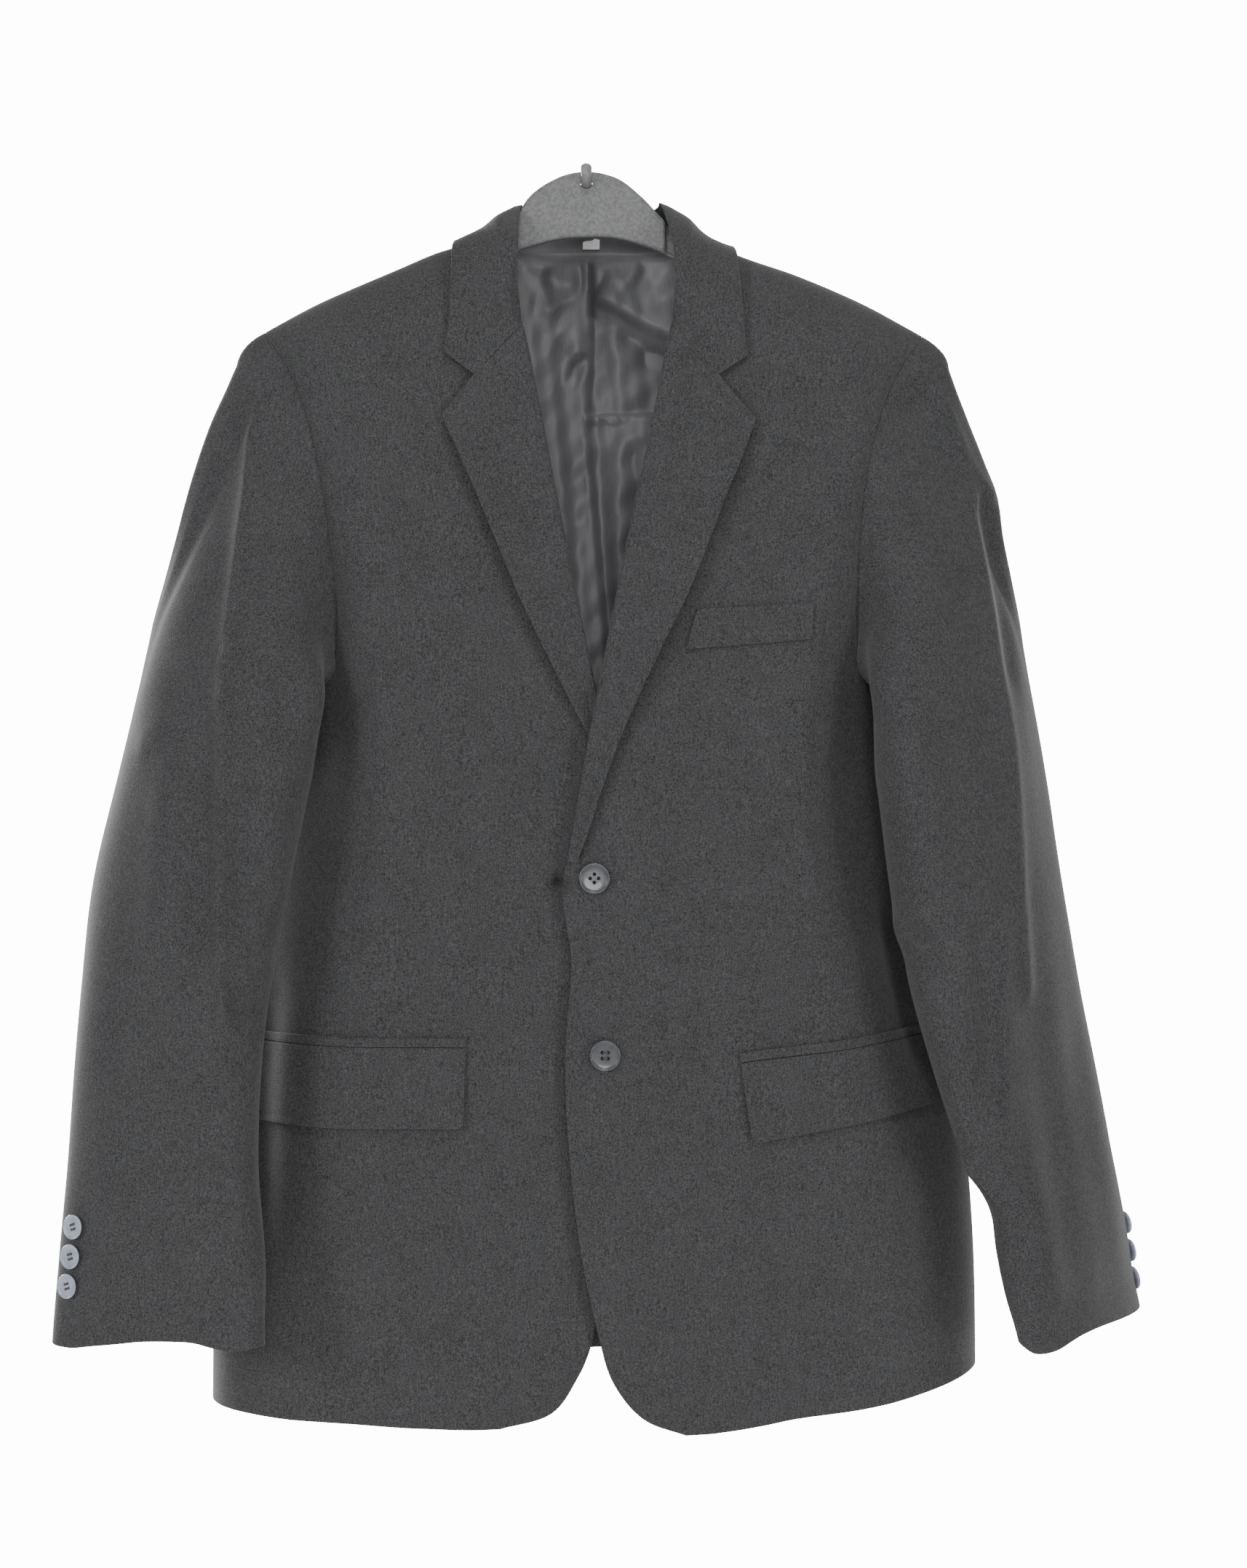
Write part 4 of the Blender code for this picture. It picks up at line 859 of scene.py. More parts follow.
def loft(name, sections, material, uvs=None, sharp=50.0):
    """A closed solid through loops of the same even number of points; each end is
    closed by a strip between the loop's two halves."""
    sections = np.asarray(sections, float)
    number, count = sections.shape[:2]
    index = np.arange(number * count).reshape(number, count)
    turned = np.roll(index, -1, axis=1)
    faces = np.stack([index[:-1], turned[:-1], turned[1:], index[1:]], -1).reshape(-1, 4).tolist()
    for k in range(count // 2 - 1):
        strip = [k, k + 1, count - 2 - k, count - 1 - k]
        faces.append(index[0, strip[::-1]].tolist())
        faces.append(index[-1, strip].tolist())
    return mesh_object(name, sections.reshape(-1, 3), faces, material, uvs, sharp)


def loft_uvs(sections):
    """Metres round a loft's sections and along them."""
    sections = np.asarray(sections, float)
    along = running(np.linalg.norm(np.diff(sections.mean(axis=1), axis=0), axis=1))
    around = running(np.linalg.norm(np.diff(sections, axis=1), axis=2), 1)
    uvs = np.stack([around, np.broadcast_to(along[:, None], around.shape)], -1)
    return uvs.reshape(-1, 2) * MM


def settle(piece, slot, *nodes):
    """Puts a finished piece in place of its CAD nodes, on the one body."""
    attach(piece, "root")
    if nodes:
        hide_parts(*nodes)


def hung_panel(name, cut, outer, normals, uvs):
    """A panel of suiting that hangs from the hanger."""
    piece = shell(name + "_cloth", outer, normals, finish("charcoal_suiting"), cloth(), uvs)
    settle(piece, "suit_cloth", name)


def sizes():
    return bpy.context.scene.jacket_sizes


def finishes():
    return bpy.context.scene.jacket_finishes


# ---------------------------------------------------------------- finishes
class Nodes:
    """Builds a node tree a node at a time."""

    def __init__(self, tree):
        self.tree = tree

    def add(self, kind, **values):
        node = self.tree.nodes.new(kind)
        for key, value in values.items():
            if hasattr(node, key):
                setattr(node, key, value)
            else:
                node.inputs[key.replace("_", " ")].default_value = value
        return node

    def join(self, start, end):
        self.tree.links.new(start, end)


def new_material(name, colour, roughness, sheen=0.0, coat=0.0, specular=0.5):
    """A material whose even values stand on the shader's own sockets."""
    material = bpy.data.materials.new("jacket_" + name)
    material.use_nodes = True
    material.diffuse_color = (*colour, 1.0)
    tree = material.node_tree
    shader = tree.nodes["Principled BSDF"]
    shader.inputs["Base Color"].default_value = (*colour, 1.0)
    shader.inputs["Roughness"].default_value = roughness
    shader.inputs["Sheen Weight"].default_value = sheen
    shader.inputs["Sheen Roughness"].default_value = 0.45
    shader.inputs["Coat Weight"].default_value = coat
    shader.inputs["Specular IOR Level"].default_value = specular
    return material, Nodes(tree), shader


def shade(nodes, factor, dark, light):
    """A colour between two, by a factor from 0 to 1."""
    ramp = nodes.add("ShaderNodeMix", data_type="RGBA")
    ramp.inputs["A"].default_value = (*dark, 1.0)
    ramp.inputs["B"].default_value = (*light, 1.0)
    nodes.join(factor, ramp.inputs["Factor"])
    return ramp.outputs["Result"]


def scaled(colour, amount):
    return tuple(c * amount for c in colour)


def math_node(nodes, operation, a, b, clamp=False):
    node = nodes.add("ShaderNodeMath", operation=operation, use_clamp=clamp)
    for socket, value in zip(node.inputs, (a, b)):
        if isinstance(value, (int, float)):
            socket.default_value = value
        else:
            nodes.join(value, socket)
    return node.outputs[0]


def stretched(nodes, value, amount, shift, clamp=False):
    """A value times an amount, and shifted."""
    node = nodes.add("ShaderNodeMath", operation="MULTIPLY_ADD", use_clamp=clamp)
    nodes.join(value, node.inputs[0])
    node.inputs[1].default_value, node.inputs[2].default_value = amount, shift
    return node.outputs[0]


def emboss(nodes, shader, height, strength, distance):
    """A fine relief on the shader's surface."""
    bump = nodes.add("ShaderNodeBump", Strength=strength, Distance=distance)
    nodes.join(height, bump.inputs["Height"])
    nodes.join(bump.outputs["Normal"], shader.inputs["Normal"])


def textured(nodes, kind, **values):
    """A pattern in the object's own space."""
    where = nodes.add("ShaderNodeTexCoord")
    texture = nodes.add(kind, **values)
    nodes.join(where.outputs["Object"], texture.inputs["Vector"])
    return texture


def suiting():
    """Charcoal wool: a fine twill with pale slubs along the length and a short nap."""
    colour = finishes().cloth_colour[:]
    material, nodes, shader = new_material("charcoal_suiting", colour, 0.90, sheen=0.12,
                                           specular=0.25)
    where = nodes.add("ShaderNodeTexCoord")

    def pattern(size_across, size_along, detail):
        mapping = nodes.add("ShaderNodeMapping")
        mapping.inputs["Scale"].default_value = (1000 / size_across, 1000 / size_across,
                                                 1000 / size_along)
        nodes.join(where.outputs["Object"], mapping.inputs["Vector"])
        grain = nodes.add("ShaderNodeTexNoise", Scale=1.0, Detail=detail, Roughness=0.6)
        nodes.join(mapping.outputs["Vector"], grain.inputs["Vector"])
        return grain.outputs["Fac"]

    slub = pattern(1.0, 6.0, 3.0)
    heather = pattern(0.92, 1.15, 4.0)
    cloudy = pattern(26.0, 34.0, 3.0)
    total = math_node(nodes, "ADD", stretched(nodes, slub, 0.6, -0.3),
                      stretched(nodes, heather, 2.1, -1.05))
    total = math_node(nodes, "ADD", total, stretched(nodes, cloudy, 0.2, -0.1))
    total = math_node(nodes, "ADD", total, 0.5, clamp=True)
    nodes.join(shade(nodes, total, scaled(colour, 0.20), scaled(colour, 1.95)),
               shader.inputs["Base Color"])
    twill = nodes.add("ShaderNodeTexWave", wave_type="BANDS", bands_direction="DIAGONAL",
                      Scale=1.0, Distortion=0.6, Detail=1.0)
    fine = nodes.add("ShaderNodeMapping")
    fine.inputs["Scale"].default_value = (420.0, 420.0, 420.0)
    nodes.join(where.outputs["Object"], fine.inputs["Vector"])
    nodes.join(fine.outputs["Vector"], twill.inputs["Vector"])
    height = math_node(nodes, "ADD", twill.outputs["Fac"], math_node(nodes, "MULTIPLY", slub, 1.5))
    emboss(nodes, shader, height, 0.35, 0.0004)
    return material


def satin():
    """Dull satin lining with a fine rib and faint cloudy sheen."""
    colour = finishes().lining_colour[:]
    material, nodes, shader = new_material("lining_satin", colour, 0.46, sheen=0.08,
                                           specular=0.45)
    place_on_cut = nodes.add("ShaderNodeUVMap", uv_map="cut")
    mapping = nodes.add("ShaderNodeMapping")
    mapping.inputs["Scale"].default_value = (900.0, 120.0, 1.0)
    nodes.join(place_on_cut.outputs["UV"], mapping.inputs["Vector"])
    rib = nodes.add("ShaderNodeTexNoise", Scale=1.0, Detail=2.0)
    nodes.join(mapping.outputs["Vector"], rib.inputs["Vector"])
    nodes.join(shade(nodes, rib.outputs["Fac"], scaled(colour, 0.8), scaled(colour, 1.2)),
               shader.inputs["Base Color"])
    nodes.join(stretched(nodes, rib.outputs["Fac"], 0.2, 0.38), shader.inputs["Roughness"])
    emboss(nodes, shader, rib.outputs["Fac"], 0.15, 0.0002)
    return material


def grained(name, colour, roughness, size, contrast, bump_depth, coat=0.0):
    """Moulded plastic or resin with an even grain of one size, in millimetres."""
    material, nodes, shader = new_material(name, colour, roughness, coat=coat)
    grain = textured(nodes, "ShaderNodeTexNoise", Scale=1000.0 / size, Detail=4.0,
                     Roughness=0.55)
    mottle = stretched(nodes, grain.outputs["Fac"], 4.0, -1.5, clamp=True)
    nodes.join(shade(nodes, mottle, scaled(colour, 1 - contrast),
                     scaled(colour, 1 + contrast)), shader.inputs["Base Color"])
    nodes.join(stretched(nodes, grain.outputs["Fac"], 0.25, roughness - 0.12),
               shader.inputs["Roughness"])
    emboss(nodes, shader, grain.outputs["Fac"], 0.3, bump_depth * MM)
    return material


def tape():
    """White woven tape."""
    colour = (0.95, 0.95, 0.94)
    material, nodes, shader = new_material("label_tape", colour, 0.75, sheen=0.2)
    weave = textured(nodes, "ShaderNodeTexWave", bands_direction="X", Scale=260.0,
                     Distortion=0.5)
    nodes.join(shade(nodes, weave.outputs["Fac"], scaled(colour, 0.93), colour),
               shader.inputs["Base Color"])
    emboss(nodes, shader, weave.outputs["Fac"], 0.25, 0.0002)
    return material


def yarn(name, colour):
    """Twisted sewing thread."""
    material, nodes, shader = new_material(name, colour, 0.7, sheen=0.3)
    twist = textured(nodes, "ShaderNodeTexWave", bands_direction="DIAGONAL", Scale=900.0)
    nodes.join(shade(nodes, twist.outputs["Fac"], scaled(colour, 0.7), scaled(colour, 1.2)),
               shader.inputs["Base Color"])
    return material


FINISH_MAKERS = {
    "charcoal_suiting": suiting,
    "lining_satin": satin,
    "button_resin": lambda: grained("button_resin", finishes().button_colour[:], 0.34, 6.0,
                                    0.12, 0.05, coat=0.25),
    # The cuff buttons' resin is the front buttons' resin painted much lighter and bluer: painted
    # light from the left falling on them.
    "cuff_button_resin": lambda: grained("cuff_button_resin",
                                         (0.310, 0.335, 0.410), 0.22, 6.0,
                                         0.12, 0.05, coat=0.6),
    "hanger_plastic": lambda: grained("hanger_plastic", finishes().hanger_colour[:], 0.58, 1.7,
                                      0.22, 0.06),
    "hook_plastic": lambda: grained("hook_plastic", (0.170, 0.171, 0.174), 0.34, 0.9, 0.10, 0.05),
    "label_tape": tape,
    "charcoal_thread": lambda: yarn("charcoal_thread", (0.030, 0.030, 0.032)),
}


def finish(name):
    return bpy.data.materials.get("jacket_" + name) or FINISH_MAKERS[name]()


# ---------------------------------------------------------------- cloth panels
FRONT_ROWS = np.concatenate([[0, 0.02, 0.06, 0.12, 0.2, 0.3, 0.4, 0.5, 0.6, 0.7, 0.8, 0.9],
                             np.arange(1, 22.99, 0.125), [22.97, 23.0]])
BACK_ROWS = np.concatenate([[0, 0.02, 0.06, 0.12, 0.2, 0.3, 0.4, 0.5, 0.6, 0.7, 0.8, 0.9],
                            np.arange(10, 180) / 10, [17.98, 18.0]])
FRONT_COLUMNS = 80
BACK_COLUMNS = 84
PLAIN_SHOULDER = 70.0     # the cloth is without creases this far below the shoulder
PLAIN_FADE = 80.0         # and they grow over this length
PLAIN_FLANK = 40.0        # width by the side seam in which they fade
PLAIN_CENTRE = 18.0       # and by the back's centre seam
GROOVE_DEPTH = -2.7       # of the front along its armhole
GROOVE_WIDTH = 2.9


def relief(group, side, h, z):
    """Creases and slow waves, which fade towards the shoulder and the side seam."""
    x = CENTRE_X + SIDES[side] * h
    settled = smooth((shoulder_z(side, h) - z - PLAIN_SHOULDER) / PLAIN_FADE)
    settled = settled * smooth((BODY_AT(z)["half"] - np.abs(h)) / PLAIN_FLANK)
    seed = {"front": 1, "back": 2}[group] + (SIDES[side] < 0) * 4
    waves = drape(x, z, 230, 1.1, seed) * sizes().crease_strength
    if group == "back":
        waves = waves * smooth(h / PLAIN_CENTRE)
    return (crease_height(group, x, z) + waves) * settled


def front_sheet(side):
    """Points and outward normals of a front's outer face."""
    row, share = np.meshgrid(FRONT_ROWS, spread(FRONT_COLUMNS, 0.004), indexing="ij")
    share = 1 - (1 - share) ** 1.15      # closer together at the armhole
    h, z = front_hz(side, row, share)
    out_h, _ = outer_end(FRONT_OUT[side], row, UNDERARM_ROW)
    groove = GROOVE_DEPTH * np.exp(-((out_h - h) / GROOVE_WIDTH) ** 2)
    groove = groove * smooth((row - 0.5) / 1.2) * smooth(UNDERARM_ROW - 1 - row)
    points, _ = front_place(side, h, z, groove)
    points[0, :, 1] = RIDGE_Y - SEAM_GAP / 2
    under = FRONT_ROWS >= UNDERARM_ROW
    points[under, -1, 1] -= SEAM_GAP / 2
    normals = grid_normals(points, (0, -1, 0))
    normals[0] = ridge_normals(side, h[0])
    normals[under, -1] = (SIDES[side], 0, 0)
    return points, normals, straight_grain(points)


def ridge_normals(side, h):
    """Square to the shoulder line, upwards."""
    slope = (shoulder_z(side, h + 1) - shoulder_z(side, h - 1)) / 2
    return unit(np.stack([-SIDES[side] * slope, np.zeros_like(slope), np.ones_like(slope)], -1))


def level_run(grid):
    """Length along each row of a grid, seen from above."""
    return running(np.hypot(np.diff(grid[..., 0], axis=1), np.diff(grid[..., 1], axis=1)), 1)


def straight_grain(points):
    """A cut whose length runs straight down the body."""
    across = level_run(points)
    across = across * np.sign(points[0, -1, 0] - points[0, 0, 0]) + points[:, :1, 0]
    return np.stack([across, points[..., 2]], axis=-1) * MM


def back_sheet(side):
    """Points and outward normals of a back's outer face."""
    shares = spread(BACK_COLUMNS, 0.003)[::-1]
    row, share = np.meshgrid(BACK_ROWS, shares, indexing="ij")
    h, z = back_hz(side, row, share)
    y = back_y(side, h, z)
    points = place(side, np.maximum(h, 0.02), y, z)
    normals = grid_normals(points, (0, 1, 0))
    points = points + normals * relief("back", side, h, z)[..., None]
    on_ridge = h[0] >= BACK_NECK[-1].h
    points[0, on_ridge, 1] = RIDGE_Y + SEAM_GAP / 2
    points[:, -1, 0] = CENTRE_X
    under = BACK_ROWS >= BACK_UNDERARM_ROW
    points[under, 0, 1] += SEAM_GAP / 2
    normals = grid_normals(points, (0, 1, 0))
    normals[0, on_ridge] = ridge_normals(side, h[0])[on_ridge]
    normals[:, -1] = (0, 1, 0)
    normals[under, 0] = (SIDES[side], 0, 0)
    return points, normals, straight_grain(points)


# ---------------------------------------------------------------- sleeves
def squared(wave, power):
    """A sine or cosine made squarer, for a superellipse."""
    return np.sign(wave) * np.abs(wave) ** (2 / power)


def ring_place(side, z, share):
    """Points round a sleeve at a height; the share is 0 at its outer edge."""
    row = SLEEVE_AT[side](z)
    outer = np.stack([row["out_x"], row["out_y"]], -1)
    inner = np.stack([row["in_x"], row["in_y"]], -1)
    along = outer - inner
    half = np.linalg.norm(along, axis=-1, keepdims=True) / 2
    along = along / (2 * half)
    across = np.stack([along[..., 1], -along[..., 0]], -1)
    across = np.where(across[..., 1:2] > 0, -across, across)
    angle = 2 * np.pi * np.asarray(share)
    cosine, sine = np.cos(angle)[..., None], np.sin(angle)[..., None]
    reach = squared(cosine, SLEEVE_POWER) * half
    depth = squared(sine, SLEEVE_POWER) * row["thick"][..., None]
    flat = (outer + inner) / 2 + along * reach + across * depth
    height = np.broadcast_to(np.asarray(z, float), flat.shape[:-1])
    return np.concatenate([flat, height[..., None]], -1)


def draw_in(side, points, share, amount=1.0):
    """Moves points of a sleeve's outer half in to the outline of the hanging sleeve."""
    trim = TRIM_AT(points[..., 2])[side] * (1 + np.cos(2 * np.pi * share)) / 2
    points[..., 0] -= SIDES[side] * trim * amount
    return points


def armhole(side, front, back):
    """Rim of a sleeve: shares, points, normals and starts, down the front, up the back.
    A start is the way in which the sleeve leaves the rim."""
    front_count = int(np.searchsorted(FRONT_ROWS, UNDERARM_ROW)) + 1
    back_count = int(np.searchsorted(BACK_ROWS, BACK_UNDERARM_ROW - 0.01))
    points = np.concatenate([front[0][:front_count, -1], back[0][back_count - 1:0:-1, 0]])
    normals = np.concatenate([front[1][:front_count, -1], back[1][back_count - 1:0:-1, 0]])
    lengths = np.linalg.norm(np.roll(points, -1, axis=0) - points, axis=1)
    share = running(lengths)[:-1] / lengths.sum()
    tangents = np.roll(points, -1, axis=0) - np.roll(points, 1, axis=0)
    into = unit(np.cross(normals, tangents) * SIDES[side])
    top = np.abs(2 * share - 1) ** 3
    before = np.arange(len(share)) < front_count
    under = (1 - np.abs(2 * share - 1)) ** np.where(before, 2, 6)
    beside = [np.where(before, f, b) for f, b in zip(CAP_FRONT, CAP_BACK)]
    tilt, reach = (at_side + top * (at_top - at_side) + under * (at_under - at_side)
                   for at_top, at_side, at_under in zip(CAP_TOP, beside, CAP_UNDER))
    tilt = np.radians(tilt)[:, None]
    front_seam = int(np.argmin(np.abs(FRONT_ROWS - FRONT_SEAM_ROW)))
    back_seam = front_count + back_count - 1 - int(np.argmin(np.abs(BACK_ROWS - BACK_SEAM_ROW)))
    return {"share": share, "points": points + into * SEAM_GAP,
            "normals": normals * np.cos(tilt) - into * np.sin(tilt),
            "starts": (into * np.cos(tilt) + normals * np.sin(tilt)) * reach[:, None],
            "allowance": turned_in(points, normals, -into),
            "seams": (front_seam, back_seam)}


FRONT_SEAM_ROW = 10       # where the sleeve's seams meet the armhole
BACK_SEAM_ROW = 7
CAP_STEPS = 44
ARM_STEPS = 150
CUFF_NEARNESS = 0.976     # the cuffs hang nearer to the camera than the front


def sleeve_sheet(side, rim):
    """A sleeve's outer face as rings: its cap from the armhole, then its length."""
    share = rim["share"]
    front_seam, back_seam = rim["seams"]
    low, high = share[front_seam], share[back_seam]
    knots = [high - 1, low, high, low + 1]
    cuffs = [CUFF_BACK_SEAM - 1, CUFF_FRONT_SEAM, CUFF_BACK_SEAM, CUFF_FRONT_SEAM + 1]
    cuff = np.interp(share, knots, cuffs)
    arm = share + CAP_SPREAD * np.sin(np.pi * share) ** 2
    cap_z, cuff_z = SLEEVE[side][0].z, SLEEVE[side][-1].z
    end = ring_place(side, np.full(len(share), cap_z), arm)
    below = ring_place(side, np.full(len(share), cap_z - 10.0), arm)
    run = np.linalg.norm(end - rim["points"], axis=1, keepdims=True)
    finish_way = unit(below - end) * run
    rows = [rim["points"]]
    for t in np.concatenate([[0.001], (np.arange(1, CAP_STEPS) / CAP_STEPS) ** 1.15]):
        points = hermite(t, rim["points"], run * rim["starts"], end, finish_way)
        rows.append(draw_in(side, points, mix(share, arm, t), min(t * CAP_ROWS, 1)))
    stops = spread(ARM_STEPS, 0.0022)
    for t in np.concatenate([[0.0], stops[2:]]):
        slide = smooth(t / 0.7)
        wanted = np.where(cuff - arm < -0.5, cuff + 1, cuff)
        here = mix(arm, wanted, slide)
        level = np.full(len(share), mix(cap_z, cuff_z, t))
        rows.append(draw_in(side, ring_place(side, level, here), here))
    grid = np.array(rows)
    px = (grid[..., 0] - PHOTO_CENTRE[0]) / (PIXEL * CUFF_NEARNESS) + PHOTO_SIZE[0] / 2
    lift = CUFF_HEM_AT[side](px)["lift"] * PIXEL * smooth(1 - (grid[..., 2] - cuff_z) / 34)
    grid[..., 2] += lift
    normals = ring_normals(grid, rim["normals"])
    x, z = grid[..., 0], grid[..., 2]
    facing = smooth(-normals[..., 1] * 1.6)
    rise = crease_height("sleeve_" + side, x, z) * facing
    rise = rise + drape(grid[..., 0] + grid[..., 1], z, 190, 1.2,
                        7 + SIDES[side]) * sizes().crease_strength
    settled = smooth(np.arange(len(grid)) / 14.0)[:, None]
    settled = settled * smooth((z - cuff_z + 6) / 60)
    grid = grid + normals * (rise * settled)[..., None]
    facing = smooth(0.6 - normals[..., 1]) * smooth(np.arange(len(grid)) / 8.0)[:, None]
    for push in PUSHES:
        if push.side == side:
            x, z = picture_xz(push.px, push.py, push.depth)
            weight = np.exp(-((grid[..., 0] - x) / push.wide) ** 2
                            - ((grid[..., 2] - z) / push.high) ** 2) * facing
            grid[..., 0] += weight * push.x
            grid[..., 1] += weight * push.y
    return grid, ring_normals(grid, rim["normals"])


def sleeve_grain(grid):
    """A cut whose length runs straight down the sleeve, true on its front face."""
    around = level_run(grid)
    middle = int(np.argmin(grid[len(grid) // 2, :, 1]))
    near = min(max(middle, 1), grid.shape[1] - 2)
    way = np.sign(grid[len(grid) // 2, near + 1, 0] - grid[len(grid) // 2, near - 1, 0])
    across = grid[:, middle:middle + 1, 0] + way * (around - around[:, middle:middle + 1])
    return np.stack([across, grid[..., 2]], axis=-1) * MM


def ring_normals(grid, first):
    """Outward normals of a grid whose rows are rings, with the first row's given."""
    across = np.roll(grid, -1, axis=1) - np.roll(grid, 1, axis=1)
    normals = unit(np.cross(across, np.gradient(grid, axis=0)))
    outward = grid - grid.mean(axis=1, keepdims=True)
    if (normals[1:] * outward[1:]).sum() < 0:
        normals = -normals
    normals[0] = first
    return normals


def build_sleeve(side, front, back):
    """Parts a sleeve at its two seams into the top and the under sleeve."""
    rim = armhole(side, front, back)
    grid, normals = sleeve_sheet(side, rim)
    grid = np.concatenate([rim["allowance"][None], grid])
    normals = np.concatenate([normals[:1], normals])
    count = grid.shape[1]
    front_seam, back_seam = rim["seams"]
    top = [c % count for c in range(back_seam, count + front_seam + 1)]
    under = list(range(front_seam, back_seam + 1))
    for name, columns in (("top_sleeve_", top), ("under_sleeve_", under)):
        outer = grid[:, columns].copy()
        for edge, neighbour in ((0, 1), (-1, -2)):
            outer[:, edge] += unit(outer[:, neighbour] - outer[:, edge]) * SEAM_GAP * 0.7
        hung_panel(name + side, CUTS[name.rstrip("_")], outer, normals[:, columns],
                   sleeve_grain(outer))


# ---------------------------------------------------------------- collar and lapels
COLLAR_END_RISE = 4.6     # of its fold over the front, by the notch
COLLAR_ROLL_IN = 4.6      # of the left side's fold, towards the neck
COLLAR_ROLL_UP = 1.4
COLLAR_SWELL = {"left": -1.4, "right": 1.2}      # of the fall, half way down its side
COLLAR_OFF = 2.2          # how far its edge stands off the front
COLLAR_FOLDED = 3.5       # height of the folded cloth
LAPEL_ROLL = 1.7          # how far its roll rises over its face
LAPEL_THIN, LAPEL_FOLDED = 1.2, 2.7      # height of the folded cloth, at its foot and above
LAPEL_OFF = 5.6           # how far its edge stands off the front
LAPEL_UNDER_OFF = 6.0     # and its under side


def through(points, count):
    """Evenly spaced points on a smooth curve through control points."""
    points = np.asarray(points, float)
    knots = running(np.linalg.norm(np.diff(points, axis=0), axis=1))
    tangents = np.gradient(points, knots, axis=0)
    stops = np.linspace(0, knots[-1], count)
    i = np.clip(np.searchsorted(knots, stops, side="right") - 1, 0, len(knots) - 2)
    span = (knots[i + 1] - knots[i])[:, None]
    t = ((stops - knots[i]) / span[:, 0])[:, None]
    return hermite(t, points[i], span * tangents[i], points[i + 1], span * tangents[i + 1])


def across_notch(end, share):
    """h and z along the collar's end, from the roll point by the notch to its point."""
    share = np.asarray(share, float)
    near, far = share / NOTCH_SHARE, (share - NOTCH_SHARE) / (1 - NOTCH_SHARE)
    h = np.where(near < 1, mix(end.roll_h, end.notch_h, near), mix(end.notch_h, end.point_h, far))
    z = np.where(near < 1, mix(end.roll_z, end.notch_z, near), mix(end.notch_z, end.point_z, far))
    return h, z


def collar_section(side, s):
    """Loop of the collar's section: up the stand, over the fold, down the fall and back."""
    row = COLLAR_AT.at(s)
    lean = row["lean"] * SIDES[side]
    ending = float(smooth(s - 7))

    def across(share, lift):
        share, lift = np.asarray(share, float), np.asarray(lift, float)
        h = mix(row["neck_h"], row["edge_h"], share) + lean
        drop = mix(row["neck_drop"], row["edge_drop"], share)
        if ending:
            end_h, end_z = across_notch(COLLAR_END[side], share)
            h = mix(h, end_h, ending)
            drop = mix(drop, shoulder_z(side, end_h) - end_z, ending)
        return body_place(side, h, drop, lift + RIDGE_ROOM * smooth(1 - np.abs(drop) / 24))

    rise = mix(COLLAR_RISE[side], COLLAR_END_RISE, float(smooth((s - 5) / 3)))
    rolled = (side == "left") * float(smooth(1 - abs(s - 3.6) / 2.4))
    fold = place(side, row["fold_h"] + lean - COLLAR_ROLL_IN * rolled, row["fold_y"],
                 row["fold_z"] + COLLAR_ROLL_UP * rolled)
    seam, over = across(0.0, LAY_GAP), across(0.0, rise)
    inboard = unit(seam - over)
    outer = [seam, mix(seam, fold, 0.55), fold + inboard * 0.9,
             mix(fold, over, 0.18) + unit(fold - seam) * 1.0,
             mix(fold, over, 0.5) + unit(fold - seam) * 0.4 - inboard * 0.6]
    shares = np.array([0.0, 0.15, 0.3, 0.45, NOTCH_SHARE, 0.7, 0.8, 0.9, 0.985])
    swell = COLLAR_SWELL[side] * float(smooth(1 - abs(s - 4) / 2))
    swell = swell * np.sin(np.pi * np.clip(shares, 0, 1))
    lifts = np.interp(shares, [0, 0.3, 0.6, 0.8, 1.0],
                      [rise, mix(rise, COLLAR_FOLDED, 0.6), COLLAR_FOLDED, 3.4, 3.4])
    stand_off = COLLAR_OFF * float(smooth(7.6 - s) * smooth(s - 4))
    lifts = lifts + stand_off * smooth((shares - 0.4) / 0.6)
    outer += list(across(shares, lifts + swell))
    outer = through(outer, 54)
    edge = across(np.array([1.0, 1.0]), np.array([2.9, 1.9]) + stand_off)
    stand = np.linspace(0, 0.06, 30)
    fall = np.linspace(0.07, 0.985, 24)
    lift = LAY_GAP + 0.2 + (0.9 + stand_off) * smooth(np.concatenate([stand, fall]))
    inner = across(np.concatenate([stand, fall]), lift)
    return np.concatenate([outer, edge, inner[::-1]])


def lapel_hz(side, row, share):
    """h and z across a lapel at its rows, with its notch at the top, and its width."""
    data = LAPEL_AT[side].at(row)
    h = mix(data["roll_h"], data["edge_h"], share)
    z = mix(data["roll_z"], data["edge_z"], share)
    fade = float(smooth(1 - row / LAPEL_NOTCH_FADE))
    first, end = LAPEL[side][0], COLLAR_END[side]
    hat = np.minimum(share / NOTCH_SHARE, (1 - share) / (1 - NOTCH_SHARE)) * fade
    h = h + hat * (end.notch_h - mix(first.roll_h, first.edge_h, NOTCH_SHARE))
    z = z + hat * (end.notch_z - GORGE_GAP - mix(first.roll_z, first.edge_z, NOTCH_SHARE))
    return h, z, abs(data["edge_h"] - data["roll_h"])


